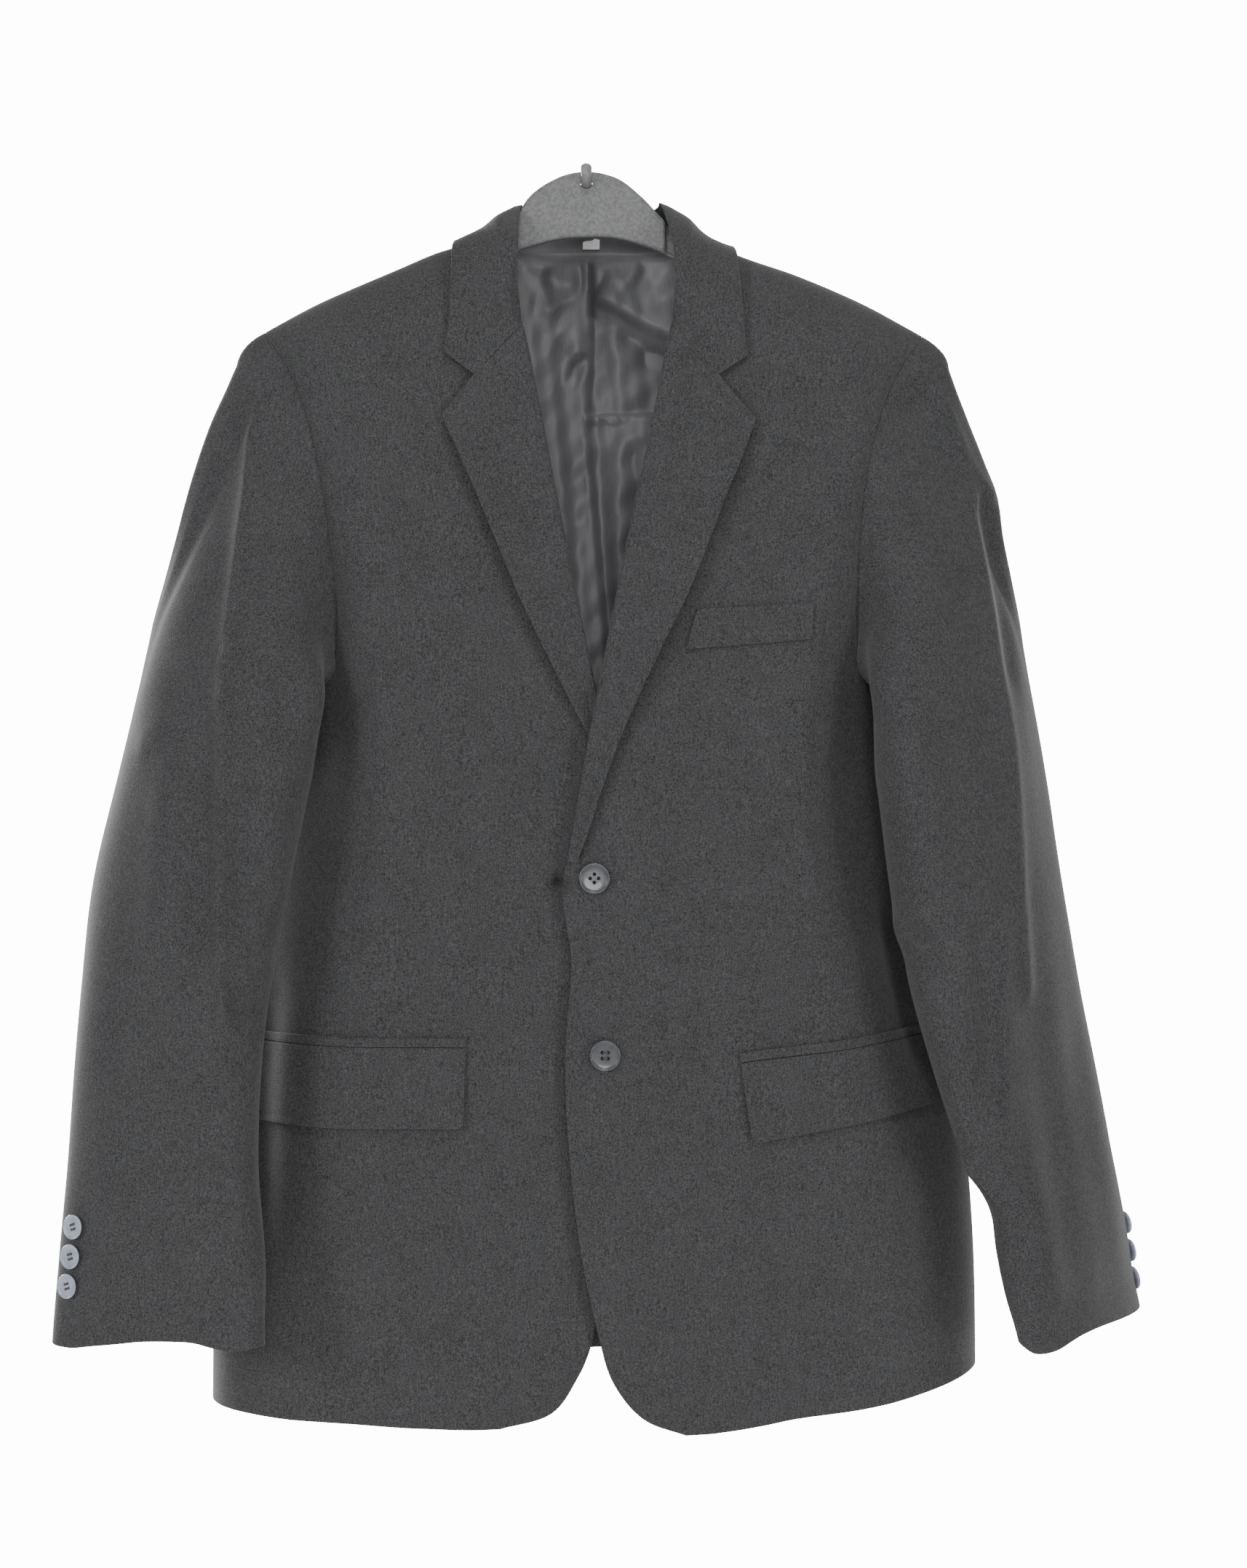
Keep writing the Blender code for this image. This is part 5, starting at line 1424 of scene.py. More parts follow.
def lapel_section(side, row):
    """Loop of a lapel's section: over the roll, across to the edge and back below it."""
    share = np.array([0.0, 0.03, 0.07, 0.12, 0.18, 0.25, 0.33, 0.42, 0.5, 0.555, NOTCH_SHARE,
                      0.645, 0.7, 0.77, 0.84, 0.9, 0.95, 0.98, 0.993])
    h, z, width = lapel_hz(side, row, share)
    thin = float(smooth(width / 22))
    flat = mix(LAPEL_THIN, LAPEL_FOLDED, float(smooth(width / 12)))
    stand_off = smooth((share - 0.3) / 0.7) * thin * mix(0.35, 1.0, float(smooth(row / 1.6)))
    swell = flat + LAPEL_ROLL * thin * np.exp(-((share - 0.16) / 0.20) ** 2)
    swell = swell + LAPEL_OFF * stand_off
    outer, _ = front_place(side, h, z, swell)
    reach = np.array([0.8, 1.4, 1.3, 0.7]) * mix(0.3, 1.0, thin)
    tuck, _ = front_place(side, h[0] - reach, np.full(4, z[0]),
                          np.array([0.7, 1.2, 2.0, 2.5]) * flat / LAPEL_FOLDED)
    last_h, last_z, _ = lapel_hz(side, row, np.array([1.0, 1.0]))
    under = LAY_GAP + 0.05 + LAPEL_UNDER_OFF * stand_off
    edge, _ = front_place(side, last_h, last_z, mix(swell[-1], under[-1], np.array([0.2, 0.7])))
    beside, _ = front_place(side, np.full(4, h[0]), np.full(4, z[0]) - 0.01 * np.arange(4),
                            np.full(4, LAY_GAP))
    inner, _ = front_place(side, h, z, under)
    return np.concatenate([tuck, outer, edge, inner[::-1], beside[::-1]])


# ---------------------------------------------------------------- flat trims
def patch_hz(patch, across, down, corner):
    """h and z over a welt, jet or flap, whose outer lower corner may be rounded."""
    top_h, top_z = (mix(a, b, across) for a, b in zip(patch.top_in, patch.top_out))
    low_h, low_z = (mix(a, b, across) for a, b in zip(patch.low_in, patch.low_out))
    h, z = mix(top_h, low_h, down), mix(top_z, low_z, down)
    if corner:
        dx = corner - (h - mix(patch.top_in[0], patch.low_in[0], down))
        dz = corner - (z - low_z)
        reach = np.hypot(dx, dz)
        outside = (dx > 0) & (dz > 0) & (reach > corner)
        pull = np.where(outside, 1 - corner / np.maximum(reach, 1e-6), 0.0)
        h, z = h + dx * pull, z + dz * pull
    return h, z


def build_patch(name, patch):
    flap = name.startswith("flap")
    columns, rows = (90, 30) if flap else (90, 14)
    down, across = np.meshgrid(spread(rows, 0.012 if flap else 0.05),
                               spread(columns, 0.004) ** (1.2 if flap else 1.0), indexing="ij")
    h, z = patch_hz(patch, across, down, FLAP_CORNER if flap else 0.0)
    if flap:
        lift = patch.lift - 0.5 + 1.5 * down ** 2 + 0.35 * np.sin(across * 9 + down * 2)
        lift = lift - 0.5 * np.exp(-((down - 0.90) / 0.03) ** 2)
    else:
        lift = patch.lift - 0.2 + 0.25 * np.sin(np.pi * down)
    outer, _ = front_place(patch.side, h, z, lift)
    base, _ = front_place(patch.side, h, z, LAY_GAP + 0.2)
    thick = np.linalg.norm(outer - base, axis=-1).min()
    piece = shell(name + "_cloth", outer, grid_normals(outer, (0, -1, 0)),
                  finish("charcoal_suiting"), max(thick, 0.8),
                  uvs=np.stack([outer[..., 0] * MM, outer[..., 2] * MM], -1))
    settle(piece, "suit_cloth", name)


# ---------------------------------------------------------------- lining and label
LINING_TOP_RISE = 7.0     # how far it goes up behind the collar
LINING_LOOSE = 9.0        # how far it hangs off the back
LINING_START = 1.6        # and everywhere below the neck, at least
LINING_REACH = 238.0      # it lies on the back from here outwards


def lining_sheet():
    """The lining's face, which follows the back and hangs loose of it below the neck."""
    rows = np.concatenate([np.arange(0, 12.5, 0.06), np.arange(12.5, 17.7, 0.25)])
    halves = []
    for side, order in (("left", 1), ("right", -1)):
        shares = np.concatenate([np.linspace(0.94, 0.3, 24)[:-1], np.linspace(0.3, 0.0, 50)])
        row, share = np.meshgrid(rows, shares[::order], indexing="ij")
        h, z = back_hz(side, row, share)
        z = z + LINING_TOP_RISE * smooth(1 - row / 0.3) * smooth((62 - h) / 20)
        halves.append(place(side, np.maximum(h, 0.3), back_y(side, h, z), z))
    grid = np.concatenate(halves, axis=1)
    normals = grid_normals(grid, (0, 1, 0))
    gap = mix(1.3, cloth() + LINING_GAP, smooth((-33 - grid[..., 2]) / 8))
    grid = grid - normals * gap[..., None]
    x, z = grid[..., 0], grid[..., 2]
    fold = crease_height("lining", x, z)
    gathers = 0.7 * np.sin(x / 2.4 + np.sin(z / 9.0) * 1.1) * np.exp(-((z + 48) / 16) ** 2)
    waves = drape(x, z, 120, 0.9, 3) + drape(x, z * 1.8, 42, 1.1, 5)
    loose = LINING_LOOSE * smooth((130 - np.abs(x - CENTRE_X)) / 60) * smooth((z + 600) / 60)
    rise = fold + (gathers + waves) * sizes().crease_strength + LINING_START + loose
    edge = smooth((LINING_REACH - np.abs(x - CENTRE_X)) / 40) * smooth((-36 - z) / 10)
    grid[..., 1] -= np.maximum(rise, 0.0) * edge
    return grid


# ---------------------------------------------------------------- hanger and hook
STEP_START, STEP_END = 52.4, 61.0     # where the web is thinner, beside its left arm
RIM_TOP, RIM_LOW = 2.2, 1.8           # height of the web's rims
RIM_DEPTH = 0.7


def oval(x, y, top, low, depth, power, count):
    """A squared oval round the hanger, across x."""
    angle = 2 * np.pi * (np.arange(count) + 0.5) / count
    reach = squared(np.cos(angle), power) * depth
    rise = squared(np.sin(angle), power) * (top - low) / 2
    return np.stack([np.full(count, float(x)), y + reach, (top + low) / 2 + rise], -1)


def rimmed(section, top, low):
    """Sinks a section's faces a little between a rim along its top and its bottom."""
    z = section[:, 2]
    inside = smooth((top - RIM_TOP - z) / 0.8) * smooth((z - low - RIM_LOW) / 0.8)
    section[:, 1] -= np.sign(section[:, 1] - section[:, 1].mean()) * RIM_DEPTH * inside
    return section


def hanger_sections():
    """From the end of the right arm, through the web, to the end of the left arm."""
    sections = []
    for x in np.linspace(HANGER_WEB[0].x, HANGER_WEB[-1].x, 120):
        row = WEB_AT.at(x)
        step = float(smooth((x - STEP_START) / 0.9) * smooth((STEP_END - x) / 2))
        section = oval(x, HANGER_Y + 1.6 * step, row["top"], row["low"],
                       row["depth"] * (1 - 0.4 * step), row["power"], 64)
        sections.append(rimmed(section, row["top"], row["low"]))
    arms = {}
    for side in SIDES:
        arm = []
        for h in np.linspace(HANGER_ARM[0].h, HANGER_ARM[-1].h, 60):
            row = ARM_AT.at(h)
            top = float(shoulder_z(side, h)) - HANGER_CLEARANCE
            arm.append(oval(CENTRE_X + SIDES[side] * h, RIDGE_Y, top, top - row["height"],
                            row["depth"], 2.2, 64))
        arms[side] = arm
    return arms["right"][::-1] + sections + arms["left"]


def circle(centre, radius, axis, count):
    turn = np.array(Vector((0, 0, 1)).rotation_difference(Vector(axis).normalized()).to_matrix())
    angle = 2 * np.pi * np.arange(count) / count
    flat = np.stack([radius * np.cos(angle), radius * np.sin(angle), np.zeros(count)], -1)
    return np.asarray(centre, float) + flat @ turn.T


def hook_sections(count=48):
    """Rings of the plate, its rounded collar, the rod, the bend and the upturned tip."""
    back = (0, -1, 0)
    profile = [(0, HOOK_PLATE - 0.4), (-0.4, HOOK_PLATE)]
    for k in range(7):
        turn = math.pi / 2 * k / 6
        profile.append((0.8 - HOOK_PLATE_DEPTH + 0.1 - 0.9 * math.sin(turn),
                        HOOK_PLATE - 1.2 * (1 - math.cos(turn))))
    profile.append((-HOOK_PLATE_DEPTH, HOOK_ROD + 3.0))
    for k in range(6):
        turn = math.pi / 2 * k / 5
        profile.append((-HOOK_PLATE_DEPTH - 2.6 * (1 - math.cos(turn)),
                        HOOK_ROD + 2.4 * (1 - math.sin(turn))))
    profile += [(y, HOOK_ROD) for y in np.linspace(-8, -HOOK_REACH, 14)]
    sections = [circle((0, y, 0), radius, back, count) for y, radius in profile]
    for k in range(1, 17):
        angle = math.pi / 2 * k / 16
        centre = (0, -HOOK_REACH - HOOK_BEND * math.sin(angle), HOOK_BEND * (1 - math.cos(angle)))
        sections.append(circle(centre, HOOK_ROD, (0, -math.cos(angle), math.sin(angle)), count))
    tip_y, tip_round = -HOOK_REACH - HOOK_BEND, 2.6
    for k in range(8):
        angle = math.pi / 2 * k / 7.6
        sections.append(circle((0, tip_y, HOOK_TIP_Z - tip_round * (1 - math.sin(angle))),
                               HOOK_ROD - tip_round * (1 - math.cos(angle)), (0, 0, 1), count))
    return sections


# ---------------------------------------------------------------- buttons
Turned = namedtuple("Turned", "radius height")     # shares of the button's radius
BUTTON_FORM = [
    Turned(0.70, 0.000), Turned(0.82, 0.015), Turned(0.91, 0.05), Turned(0.97, 0.10),
    Turned(1.00, 0.155), Turned(1.00, 0.20), Turned(0.99, 0.245), Turned(0.97, 0.275),
    Turned(0.94, 0.285), Turned(0.91, 0.275), Turned(0.885, 0.245), Turned(0.86, 0.215),
    Turned(0.82, 0.195), Turned(0.74, 0.18), Turned(0.60, 0.17), Turned(0.45, 0.165),
    Turned(0.30, 0.165), Turned(0.12, 0.165),
]
HOLE_SIZE = 0.12          # shares of the button's radius
HOLE_REACH = 0.27
CUFF_TURN = 0.6           # of the cuff buttons' holes, in radians


def button_frame(seat, normal):
    """From a button's own space, with its face up z, to its place on the cloth."""
    turn = Vector((0, 0, 1)).rotation_difference(Vector(normal)).to_matrix().to_4x4()
    return Matrix.Translation(Vector(seat)) @ turn


def moved(matrix, points):
    matrix = np.array(matrix)
    return np.asarray(points) @ matrix[:3, :3].T + matrix[:3, 3]


def evaluated_mesh(thing, name):
    """A plain mesh object from an object with its modifiers."""
    graph = bpy.context.evaluated_depsgraph_get()
    mesh = bpy.data.meshes.new_from_object(thing.evaluated_get(graph), depsgraph=graph)
    mesh.name = name
    thing.modifiers.clear()
    return new_object(name, mesh)


def discard(*things):
    for thing in things:
        bpy.data.objects.remove(thing, do_unlink=True)


def bored(blank, cutters, name, sharp):
    """A plain mesh of a blank with its holes cut."""
    for cutter in cutters:
        cut = blank.modifiers.new("hole", "BOOLEAN")
        cut.operation = "DIFFERENCE"
        cut.solver = "EXACT"
        cut.object = cutter
    piece = evaluated_mesh(blank, name)
    discard(blank, *cutters)
    piece.data.shade_smooth()
    piece.data.set_sharp_from_angle(angle=math.radians(sharp))
    return piece


def build_button(name, node, seat, normal, diameter, turned, resin):
    """A turned button with four holes, whose back sits on `seat`."""
    radius = diameter / 2
    matrix = button_frame(seat, normal)
    resin = finish(resin)
    sections = [moved(matrix, circle((0, 0, t.height * radius), t.radius * radius, (0, 0, 1), 64))
                for t in BUTTON_FORM]
    blank = loft(name + "_blank", sections, resin, sharp=60)
    cutters = []
    for k in range(4):
        angle = math.pi / 2 * k + turned
        centre = (HOLE_REACH * radius * math.cos(angle), HOLE_REACH * radius * math.sin(angle))
        rings = [moved(matrix, circle((*centre, height), HOLE_SIZE * radius, (0, 0, 1), 16))
                 for height in (-radius, radius)]
        cutters.append(loft(name + "_hole", rings, resin))
    settle(bored(blank, cutters, name, 40), "button_resin", node)
    return matrix, radius


# ---------------------------------------------------------------- stitches
def stitch_tree():
    """Stitches of one length set one after another along a path."""
    tree = bpy.data.node_groups.get("stitch_run")
    if tree:
        return tree
    tree = bpy.data.node_groups.new("stitch_run", "GeometryNodeTree")
    face = tree.interface
    face.new_socket(name="Geometry", in_out="INPUT", socket_type="NodeSocketGeometry")
    for name in ("Spacing", "Length", "Thickness", "Sideways"):
        face.new_socket(name=name, in_out="INPUT", socket_type="NodeSocketFloat")
    face.new_socket(name="Thread", in_out="INPUT", socket_type="NodeSocketMaterial")
    face.new_socket(name="Geometry", in_out="OUTPUT", socket_type="NodeSocketGeometry")
    nodes = Nodes(tree)
    start, end = nodes.add("NodeGroupInput"), nodes.add("NodeGroupOutput")
    path = nodes.add("GeometryNodeMeshToCurve")
    dots = nodes.add("GeometryNodeCurveToPoints", mode="LENGTH")
    bead = nodes.add("GeometryNodeMeshUVSphere")
    bead.inputs["Segments"].default_value = 8
    bead.inputs["Rings"].default_value = 6
    bead.inputs["Radius"].default_value = 0.5
    size = nodes.add("ShaderNodeCombineXYZ")
    turn = nodes.add("FunctionNodeRotateRotation", rotation_space="LOCAL")
    swing = nodes.add("ShaderNodeCombineXYZ")
    spin = nodes.add("FunctionNodeEulerToRotation")
    beads = nodes.add("GeometryNodeInstanceOnPoints")
    real = nodes.add("GeometryNodeRealizeInstances")
    paint = nodes.add("GeometryNodeSetMaterial")
    shade_smooth = nodes.add("GeometryNodeSetShadeSmooth")
    for giver, given, taker, taken in (
            (start, "Geometry", path, 0), (path, 0, dots, "Curve"),
            (start, "Spacing", dots, "Length"), (start, "Thickness", size, "X"),
            (start, "Thickness", size, "Y"), (start, "Length", size, "Z"),
            (start, "Sideways", swing, "X"), (swing, 0, spin, 0), (dots, "Rotation", turn, 0),
            (spin, 0, turn, 1), (dots, "Points", beads, "Points"),
            (bead, "Mesh", beads, "Instance"), (turn, 0, beads, "Rotation"),
            (size, 0, beads, "Scale"), (beads, 0, real, 0), (real, 0, shade_smooth, 0),
            (shade_smooth, 0, paint, "Geometry"), (start, "Thread", paint, "Material"),
            (paint, 0, end, "Geometry")):
        nodes.join(giver.outputs[given], taker.inputs[taken])
    return tree


def stitch_run(name, paths, spacing, length, thick, sideways=0.0):
    """One plain mesh of stitches along paths in millimetres; sizes are in metres."""
    points, edges = [], []
    for path in paths:
        base = len(points)
        points += (np.asarray(path, float) * MM).tolist()
        edges += [(base + i, base + i + 1) for i in range(len(path) - 1)]
    mesh = bpy.data.meshes.new(name + "_path")
    mesh.from_pydata(points, edges, [])
    guide = new_object(name + "_path", mesh)
    thread = finish("charcoal_thread")
    run = guide.modifiers.new("stitches", "NODES")
    run.node_group = stitch_tree()
    values = {"Spacing": spacing, "Length": length, "Thickness": thick, "Sideways": sideways,
              "Thread": thread}
    for socket in run.node_group.interface.items_tree:
        if socket.in_out == "INPUT" and socket.name in values:
            run[socket.identifier] = values[socket.name]
    piece = evaluated_mesh(guide, name)
    discard(guide)
    settle(piece, "suit_cloth")


# ---------------------------------------------------------------- settings
class JacketSizes(bpy.types.PropertyGroup):
    cloth_thickness: FloatProperty(
        name="Cloth thickness", description="Thickness of the outer cloth with its interlining",
        default=0.0016, min=0.0005, max=0.003, unit="LENGTH")
    crease_strength: FloatProperty(
        name="Crease strength", description="Height of the creases as a share of those shown",
        default=1.0, min=0.0, max=1.3)
    stitch_spacing: FloatProperty(
        name="Stitch spacing", description="From one edge stitch to the next",
        default=0.0052, min=0.002, max=0.02, unit="LENGTH")
    stitch_length: FloatProperty(
        name="Stitch length", description="Length of one edge stitch",
        default=0.0013, min=0.0004, max=0.01, unit="LENGTH")
    thread_thickness: FloatProperty(
        name="Thread thickness", description="Thickness of the sewing thread",
        default=0.00045, min=0.0001, max=0.002, unit="LENGTH")


class JacketFinishes(bpy.types.PropertyGroup):
    cloth_colour: FloatVectorProperty(
        name="Cloth", description="Mean colour of the suiting", subtype="COLOR", size=3,
        default=(0.0375, 0.0375, 0.0390), min=0.0, max=1.0)
    lining_colour: FloatVectorProperty(
        name="Lining", description="Mean colour of the satin lining", subtype="COLOR", size=3,
        default=(0.112, 0.112, 0.118), min=0.0, max=1.0)
    button_colour: FloatVectorProperty(
        name="Buttons", description="Mean colour of the button resin", subtype="COLOR", size=3,
        default=(0.056, 0.058, 0.064), min=0.0, max=1.0)
    hanger_colour: FloatVectorProperty(
        name="Hanger", description="Mean colour of the hanger's plastic", subtype="COLOR", size=3,
        default=(0.128, 0.129, 0.132), min=0.0, max=1.0)


# ---------------------------------------------------------------- one operator a piece
class JacketOperator(bpy.types.Operator):
    bl_options = {"REGISTER", "UNDO"}

    def execute(self, context):
        self.build()
        return {"FINISHED"}


class JACKET_OT_fronts(JacketOperator):
    """Build both fronts, whose left one laps over the right one"""
    bl_idname = "jacket.fronts"
    bl_label = "Fronts"

    def build(self):
        for side in SIDES:
            hung_panel("front_" + side, CUTS["front"],
                       *with_allowance(*front_sheet(side), (0, 1, 0)))


class JACKET_OT_backs(JacketOperator):
    """Build both halves of the back"""
    bl_idname = "jacket.backs"
    bl_label = "Backs"

    def build(self):
        for side in SIDES:
            hung_panel("back_" + side, CUTS["back"], *back_sheet(side))


class JACKET_OT_sleeves(JacketOperator):
    """Build the top and under sleeves from the armholes to the cuffs"""
    bl_idname = "jacket.sleeves"
    bl_label = "Sleeves"

    def build(self):
        for side in SIDES:
            build_sleeve(side, front_sheet(side), back_sheet(side))


class JACKET_OT_collar(JacketOperator):
    """Build the collar, round the neck and down to the notches"""
    bl_idname = "jacket.collar"
    bl_label = "Collar"

    def build(self):
        # from the notch up to the middle of the back, closer together at the notch
        stops = np.concatenate([np.arange(8, 7, -0.05), np.arange(7, 0.05, -0.1)])
        sections = [collar_section("left", s) for s in stops]
        sections += [collar_section("left", 0.0)]
        sections += [collar_section("right", s) for s in stops[::-1]]
        piece = loft("collar_cloth", sections, finish("charcoal_suiting"), loft_uvs(sections), 70)
        settle(piece, "suit_cloth", "collar")


class JACKET_OT_lapels(JacketOperator):
    """Build the lapels, rolled back on the fronts"""
    bl_idname = "jacket.lapels"
    bl_label = "Lapels"

    def build(self):
        for side in SIDES:
            sections = [lapel_section(side, row) for row in 9 * np.linspace(0, 1, 150) ** 1.15]
            piece = loft("lapel_" + side + "_cloth", sections, finish("charcoal_suiting"),
                         loft_uvs(sections), 70)
            settle(piece, "suit_cloth", "lapel_" + side)


class JACKET_OT_pockets(JacketOperator):
    """Build the breast welt, the flaps and the jets over them"""
    bl_idname = "jacket.pockets"
    bl_label = "Pockets"

    def build(self):
        for name, patch in PATCHES.items():
            build_patch(name, patch)


class JACKET_OT_lining(JacketOperator):
    """Build the back's lining with its pleat and soft folds"""
    bl_idname = "jacket.lining"
    bl_label = "Lining"

    def build(self):
        grid = lining_sheet()
        piece = shell("back_lining_satin", grid, grid_normals(grid, (0, 1, 0)),
                      finish("lining_satin"), LINING)
        settle(piece, "lining_satin", "back_lining")


class JACKET_OT_label(JacketOperator):
    """Build the bare tape label in the neck"""
    bl_idname = "jacket.label"
    bl_label = "Label"

    def build(self):
        width, height, low_z, face_y, centre = 11.6, 14.6, -32.6, -18.6, 2.5
        down, across = np.meshgrid(spread(20, 0.01), spread(16, 0.01), indexing="ij")
        x = centre + width * (across - 0.5)
        z = low_z + height * (1 - down)
        y = face_y - 0.25 * np.sin(across * 6 + 1) * down
        grid = np.stack([x, y, z], -1)
        piece = shell("neck_label_tape", grid, grid_normals(grid, (0, -1, 0)),
                      finish("label_tape"), LABEL)
        settle(piece, "label_tape", "neck_label")


class JACKET_OT_hanger(JacketOperator):
    """Build the hanger with the hole that the hook goes through"""
    bl_idname = "jacket.hanger"
    bl_label = "Hanger"

    def build(self):
        plastic = finish("hanger_plastic")
        blank = loft("hanger_blank", hanger_sections(), plastic)
        rings = [circle((0, y, HOOK_ROD + SEAM_GAP - HANGER_HOLE), HANGER_HOLE, (0, 1, 0), 48)
                 for y in (HANGER_Y - 15, HANGER_Y + 15)]
        cutter = loft("hanger_hole", rings, plastic)
        settle(bored(blank, [cutter], "hanger_moulding", 50), "hanger_plastic", "hanger")


class JACKET_OT_hook(JacketOperator):
    """Build the wall hook with its plate"""
    bl_idname = "jacket.hook"
    bl_label = "Wall hook"

    def build(self):
        piece = loft("wall_hook_bar", hook_sections(), finish("hook_plastic"), sharp=60)
        settle(piece, "hook_plastic", "wall_hook")


class JACKET_OT_buttons(JacketOperator):
    """Build the front and cuff buttons and their thread"""
    bl_idname = "jacket.buttons"
    bl_label = "Buttons"

    def build(self):
        bars = []
        for spot, turned in zip(FRONT_BUTTONS, (0.0, math.pi / 4)):
            surface, normal = front_place(spot.side, spot.h, spot.z)
            seat = surface + normal * LAY_GAP
            frame_of, radius = build_button(spot.name + "_resin", spot.name, seat, normal,
                                            FRONT_BUTTON, turned, "button_resin")
            if turned:
                bars += thread_bars(frame_of, radius, turned)
        for number, spot in enumerate(CUFF_BUTTONS):
            # its seat, and places beside and below that give the sleeve's slope
            surface, around, down = (
                draw_in(spot.side, ring_place(spot.side, spot.z - drop, spot.share + turn),
                        spot.share + turn) for turn, drop in ((0, 0), (0.01, 0), (0, 5)))
            normal = unit(np.cross(around - surface, down - surface))
            if normal @ (surface - ring_place(spot.side, spot.z, 0.5)) < 0:
                normal = -normal
            name = "cuff_button_{}_{}".format(spot.side, number % 3 + 1)
            frame_of, radius = build_button(name + "_resin", name, surface + normal * LAY_GAP,
                                            normal, CUFF_BUTTON, CUFF_TURN, "cuff_button_resin")
            bars += thread_bars(frame_of, radius, CUFF_TURN)
        stitch_run("button_thread", bars, 1.0, 0.0044, 0.0007)


def thread_bars(matrix, radius, turned):
    """Two pairs of thread across a button's holes, each a start and a way on."""
    reach, bars = HOLE_REACH * radius, []
    for k in (0, 1):
        ends = [np.array([math.cos(turned + math.pi / 2 * c), math.sin(turned + math.pi / 2 * c)])
                * reach for c in (2 * k, 2 * k + 1)]
        way = unit(ends[1] - ends[0])
        for shift in (-0.35, 0.35):
            middle = (ends[0] + ends[1]) / 2 + np.array([-way[1], way[0]]) * shift
            path = [(*(middle + way * t), 0.21 * radius) for t in (0.0, 0.4)]
            bars.append(moved(matrix, path))
    return bars


class JACKET_OT_stitching(JacketOperator):
    """Sew the buttonhole beside the upper front button, the tacks by the pockets and the edge
    stitches
    """
    bl_idname = "jacket.stitching"
    bl_label = "Stitching"

    def build(self):
        thread = sizes().thread_thickness
        for spot in FRONT_BUTTONS[:1]:
            h = np.linspace(spot.h + 3, spot.h + 18.5, 24)
            paths = []
            for shift in (-0.75, 0.75):
                points, _ = front_place(spot.side, h, np.full(24, spot.z + 0.6) + shift, 0.25)
                paths.append(points)
            stitch_run(spot.name + "_hole", paths, thread * 1.15, 0.0015, thread, math.pi / 2)
        for side in SIDES:
            edge = front_edge_path(side)
            stitch_run("edge_stitches_" + side, [edge], sizes().stitch_spacing,
                       sizes().stitch_length, thread * 0.8)
        tacks = []
        for name, patch in PATCHES.items():
            if name.startswith("jet"):
                for (h, z), way in ((patch.top_in, 1), (patch.top_out, -1)):
                    rise = np.linspace(0.5, -7.5, 10)
                    points, _ = front_place(patch.side, np.full(10, h - way * 0.4), z + rise, 1.4)
                    tacks.append(points)
        stitch_run("pocket_tacks", tacks, thread * 1.1, 0.0012, thread, math.pi / 2)


def front_edge_path(side):
    """Just inside the front edge, from below the lapel down to the hem's curve."""
    rows = np.linspace(13.5, 22.5, 160)
    data = FRONT_AT[side](rows)
    points, _ = front_place(side, data["in_h"] + 5.0, data["in_z"] + 1.5, 0.05)
    return points


# ---------------------------------------------------------------- the stage
Lamp = namedtuple("Lamp", "name spot target size power")     # metres and watts
LAMPS = [
    Lamp("key_light", (0.1, -2.7, -0.15), (0.0, -0.1, -0.42), 0.8, 24),
    Lamp("front_left_light", (-1.8, -1.9, 0.1), (0.0, -0.1, -0.42), 0.7, 25),
    Lamp("front_right_light", (1.9, -1.9, -0.6), (0.0, -0.1, -0.42), 0.7, 21),
    Lamp("top_light", (0.1, -1.1, 1.3), (0.0, -0.1, -0.42), 0.8, 12),
    Lamp("left_light", (-1.75, 1.1, -0.1), (0.0, -0.1, -0.45), 1.0, 104),
    Lamp("right_light", (1.75, 1.25, -0.1), (0.0, -0.1, -0.45), 1.0, 34),
    Lamp("back_light", (0.6, 2.2, 1.2), (0.0, -0.1, -0.4), 1.8, 30),
]
WORLD_SHOWN, WORLD_LIGHT = 14.0, 0.42       # strengths of the white seen and of its light
FILM_WIDTH = 36.0
FLOOR_Z = -1.32           # metres


class JACKET_OT_stage(JacketOperator):
    """Set the floor, the light and the camera"""
    bl_idname = "jacket.stage"
    bl_label = "Stage"

    def build(self):
        floor_at_feet()
        soft_world()
        for lamp in LAMPS:
            soft_light(*lamp)
        lens = bpy.data.cameras.new("photo_camera")
        lens.sensor_width = FILM_WIDTH
        lens.lens = FILM_WIDTH * CAMERA_DISTANCE / (PHOTO_SIZE[1] * PIXEL)
        camera = new_object("photo_camera", lens)
        camera.location = (PHOTO_CENTRE[0] * MM, (FRONT_DEPTH - CAMERA_DISTANCE) * MM,
                           PHOTO_CENTRE[1] * MM)
        camera.rotation_euler = (math.pi / 2, 0.0, 0.0)
        bpy.context.scene.camera = camera


def floor_at_feet():
    mesh = bpy.data.meshes.new("studio_floor")
    corners = [(x, y, FLOOR_Z) for x, y in ((-1.6, -1.15), (1.6, -1.15), (1.6, 0.9), (-1.6, 0.9))]
    mesh.from_pydata(corners, [], [(0, 1, 2, 3)])
    material = bpy.data.materials.new("studio_floor")
    material.use_nodes = True
    shader = material.node_tree.nodes["Principled BSDF"]
    shader.inputs["Base Color"].default_value = (0.82, 0.82, 0.82, 1.0)
    shader.inputs["Roughness"].default_value = 0.9
    mesh.materials.append(material)
    new_object("studio_floor", mesh)


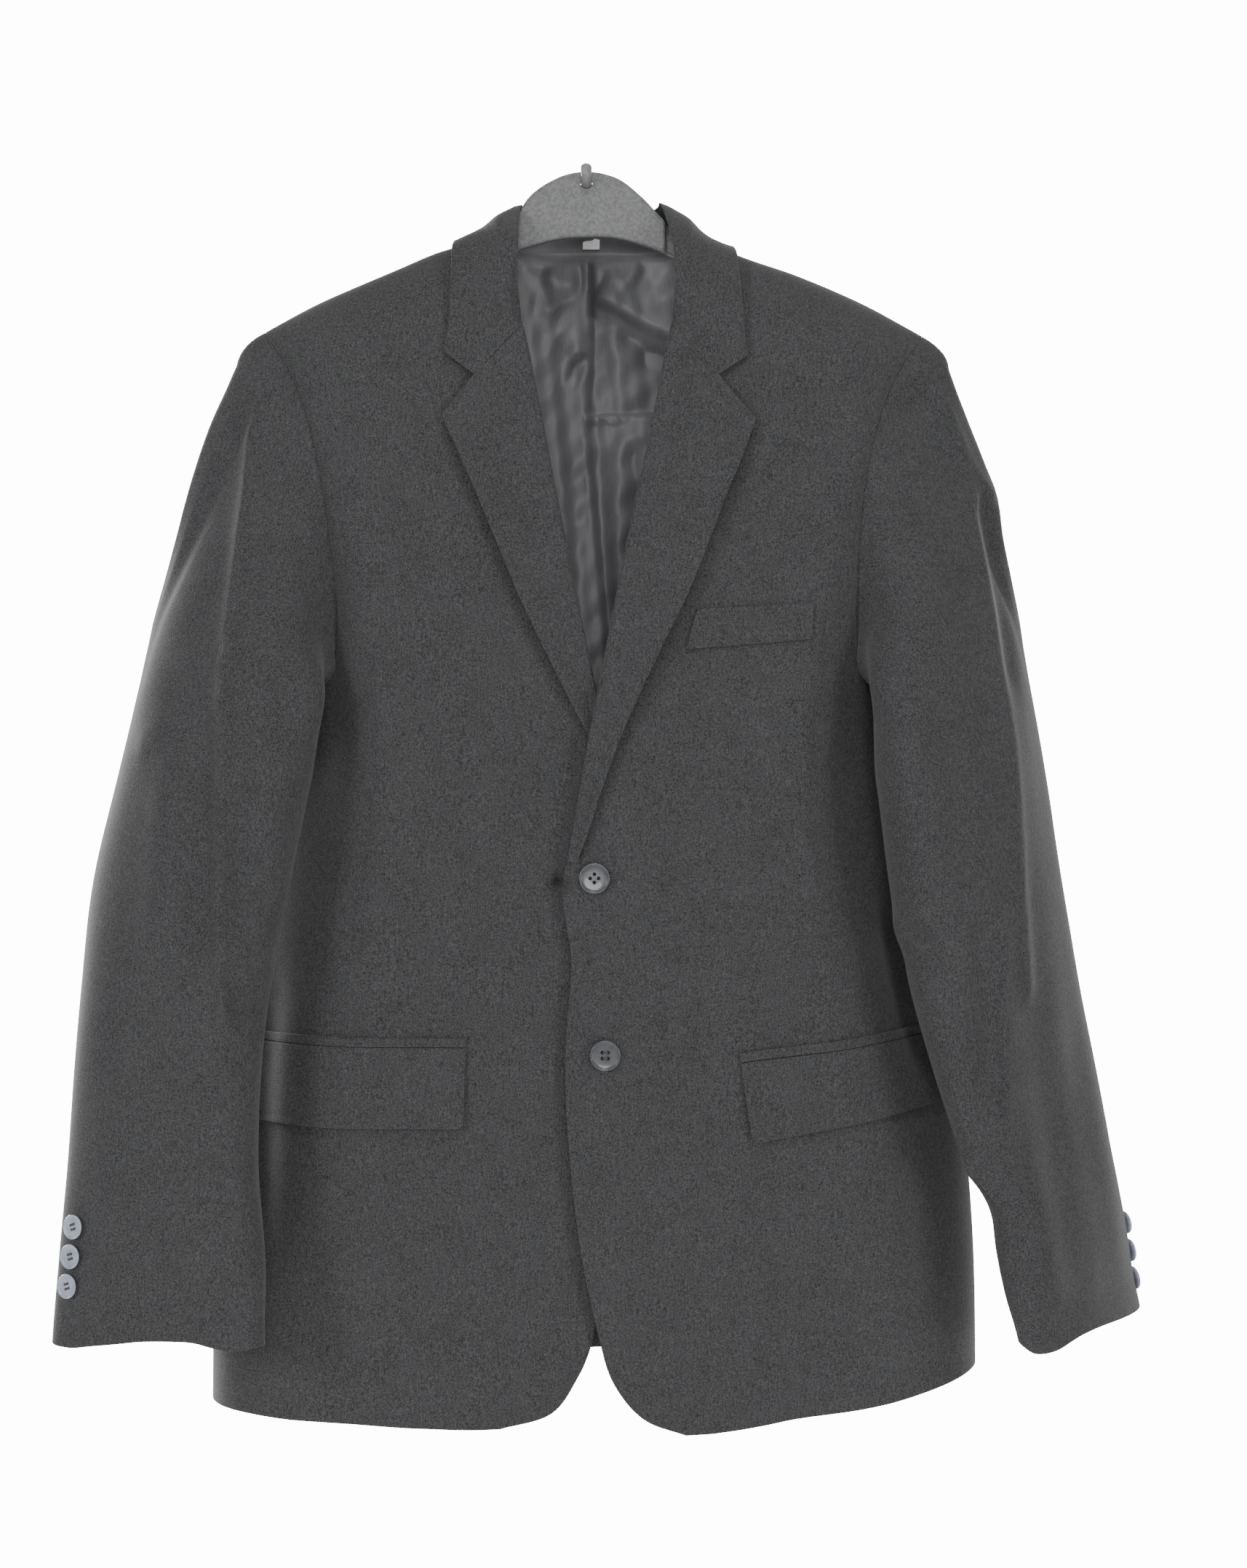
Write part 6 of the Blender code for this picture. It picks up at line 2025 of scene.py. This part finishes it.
def soft_world():
    """White behind the object, and a softer, dimmer white as light."""
    world = bpy.data.worlds.new("white_studio")
    world.use_nodes = True
    nodes = Nodes(world.node_tree)
    shown, light = world.node_tree.nodes["Background"], nodes.add("ShaderNodeBackground")
    for node, strength in ((shown, WORLD_SHOWN), (light, WORLD_LIGHT)):
        node.inputs["Color"].default_value = (1.0, 1.0, 1.0, 1.0)
        node.inputs["Strength"].default_value = strength
    ray = nodes.add("ShaderNodeLightPath")
    both = nodes.add("ShaderNodeMixShader")
    nodes.join(ray.outputs["Is Camera Ray"], both.inputs["Fac"])
    nodes.join(light.outputs[0], both.inputs[1])
    nodes.join(shown.outputs[0], both.inputs[2])
    nodes.join(both.outputs[0], world.node_tree.nodes["World Output"].inputs["Surface"])
    bpy.context.scene.world = world


def soft_light(name, spot, target, size, power):
    lamp = bpy.data.lights.new(name, "AREA")
    lamp.shape = "DISK"
    lamp.size = size
    lamp.energy = power
    light = new_object(name, lamp)
    light.location = spot
    light.rotation_euler = (Vector(target) - Vector(spot)).to_track_quat("-Z", "Y").to_euler()


# ---------------------------------------------------------------- panel and start
class JACKET_PT_panel(bpy.types.Panel):
    bl_label = "Jacket"
    bl_idname = "JACKET_PT_panel"
    bl_space_type = "VIEW_3D"
    bl_region_type = "UI"
    bl_category = "Jacket"

    def draw(self, context):
        for group in (context.scene.jacket_sizes, context.scene.jacket_finishes):
            for key in group.__annotations__:
                self.layout.prop(group, key)
        for operator in OPERATORS:
            self.layout.operator(operator.bl_idname)


OPERATORS = (JACKET_OT_fronts, JACKET_OT_backs, JACKET_OT_sleeves, JACKET_OT_collar,
             JACKET_OT_lapels, JACKET_OT_pockets, JACKET_OT_lining, JACKET_OT_label,
             JACKET_OT_hanger, JACKET_OT_hook, JACKET_OT_buttons, JACKET_OT_stitching,
             JACKET_OT_stage)
CLASSES = (JacketSizes, JacketFinishes, *OPERATORS, JACKET_PT_panel)


def register():
    for kind in CLASSES:
        bpy.utils.register_class(kind)
    bpy.types.Scene.jacket_sizes = PointerProperty(type=JacketSizes)
    bpy.types.Scene.jacket_finishes = PointerProperty(type=JacketFinishes)


def unregister():
    del bpy.types.Scene.jacket_sizes
    del bpy.types.Scene.jacket_finishes
    for kind in reversed(CLASSES):
        bpy.utils.unregister_class(kind)


def main():
    register()
    for operator in OPERATORS:
        group, call = operator.bl_idname.split(".")
        getattr(getattr(bpy.ops, group), call)()


if __name__ == "__main__":
    main()
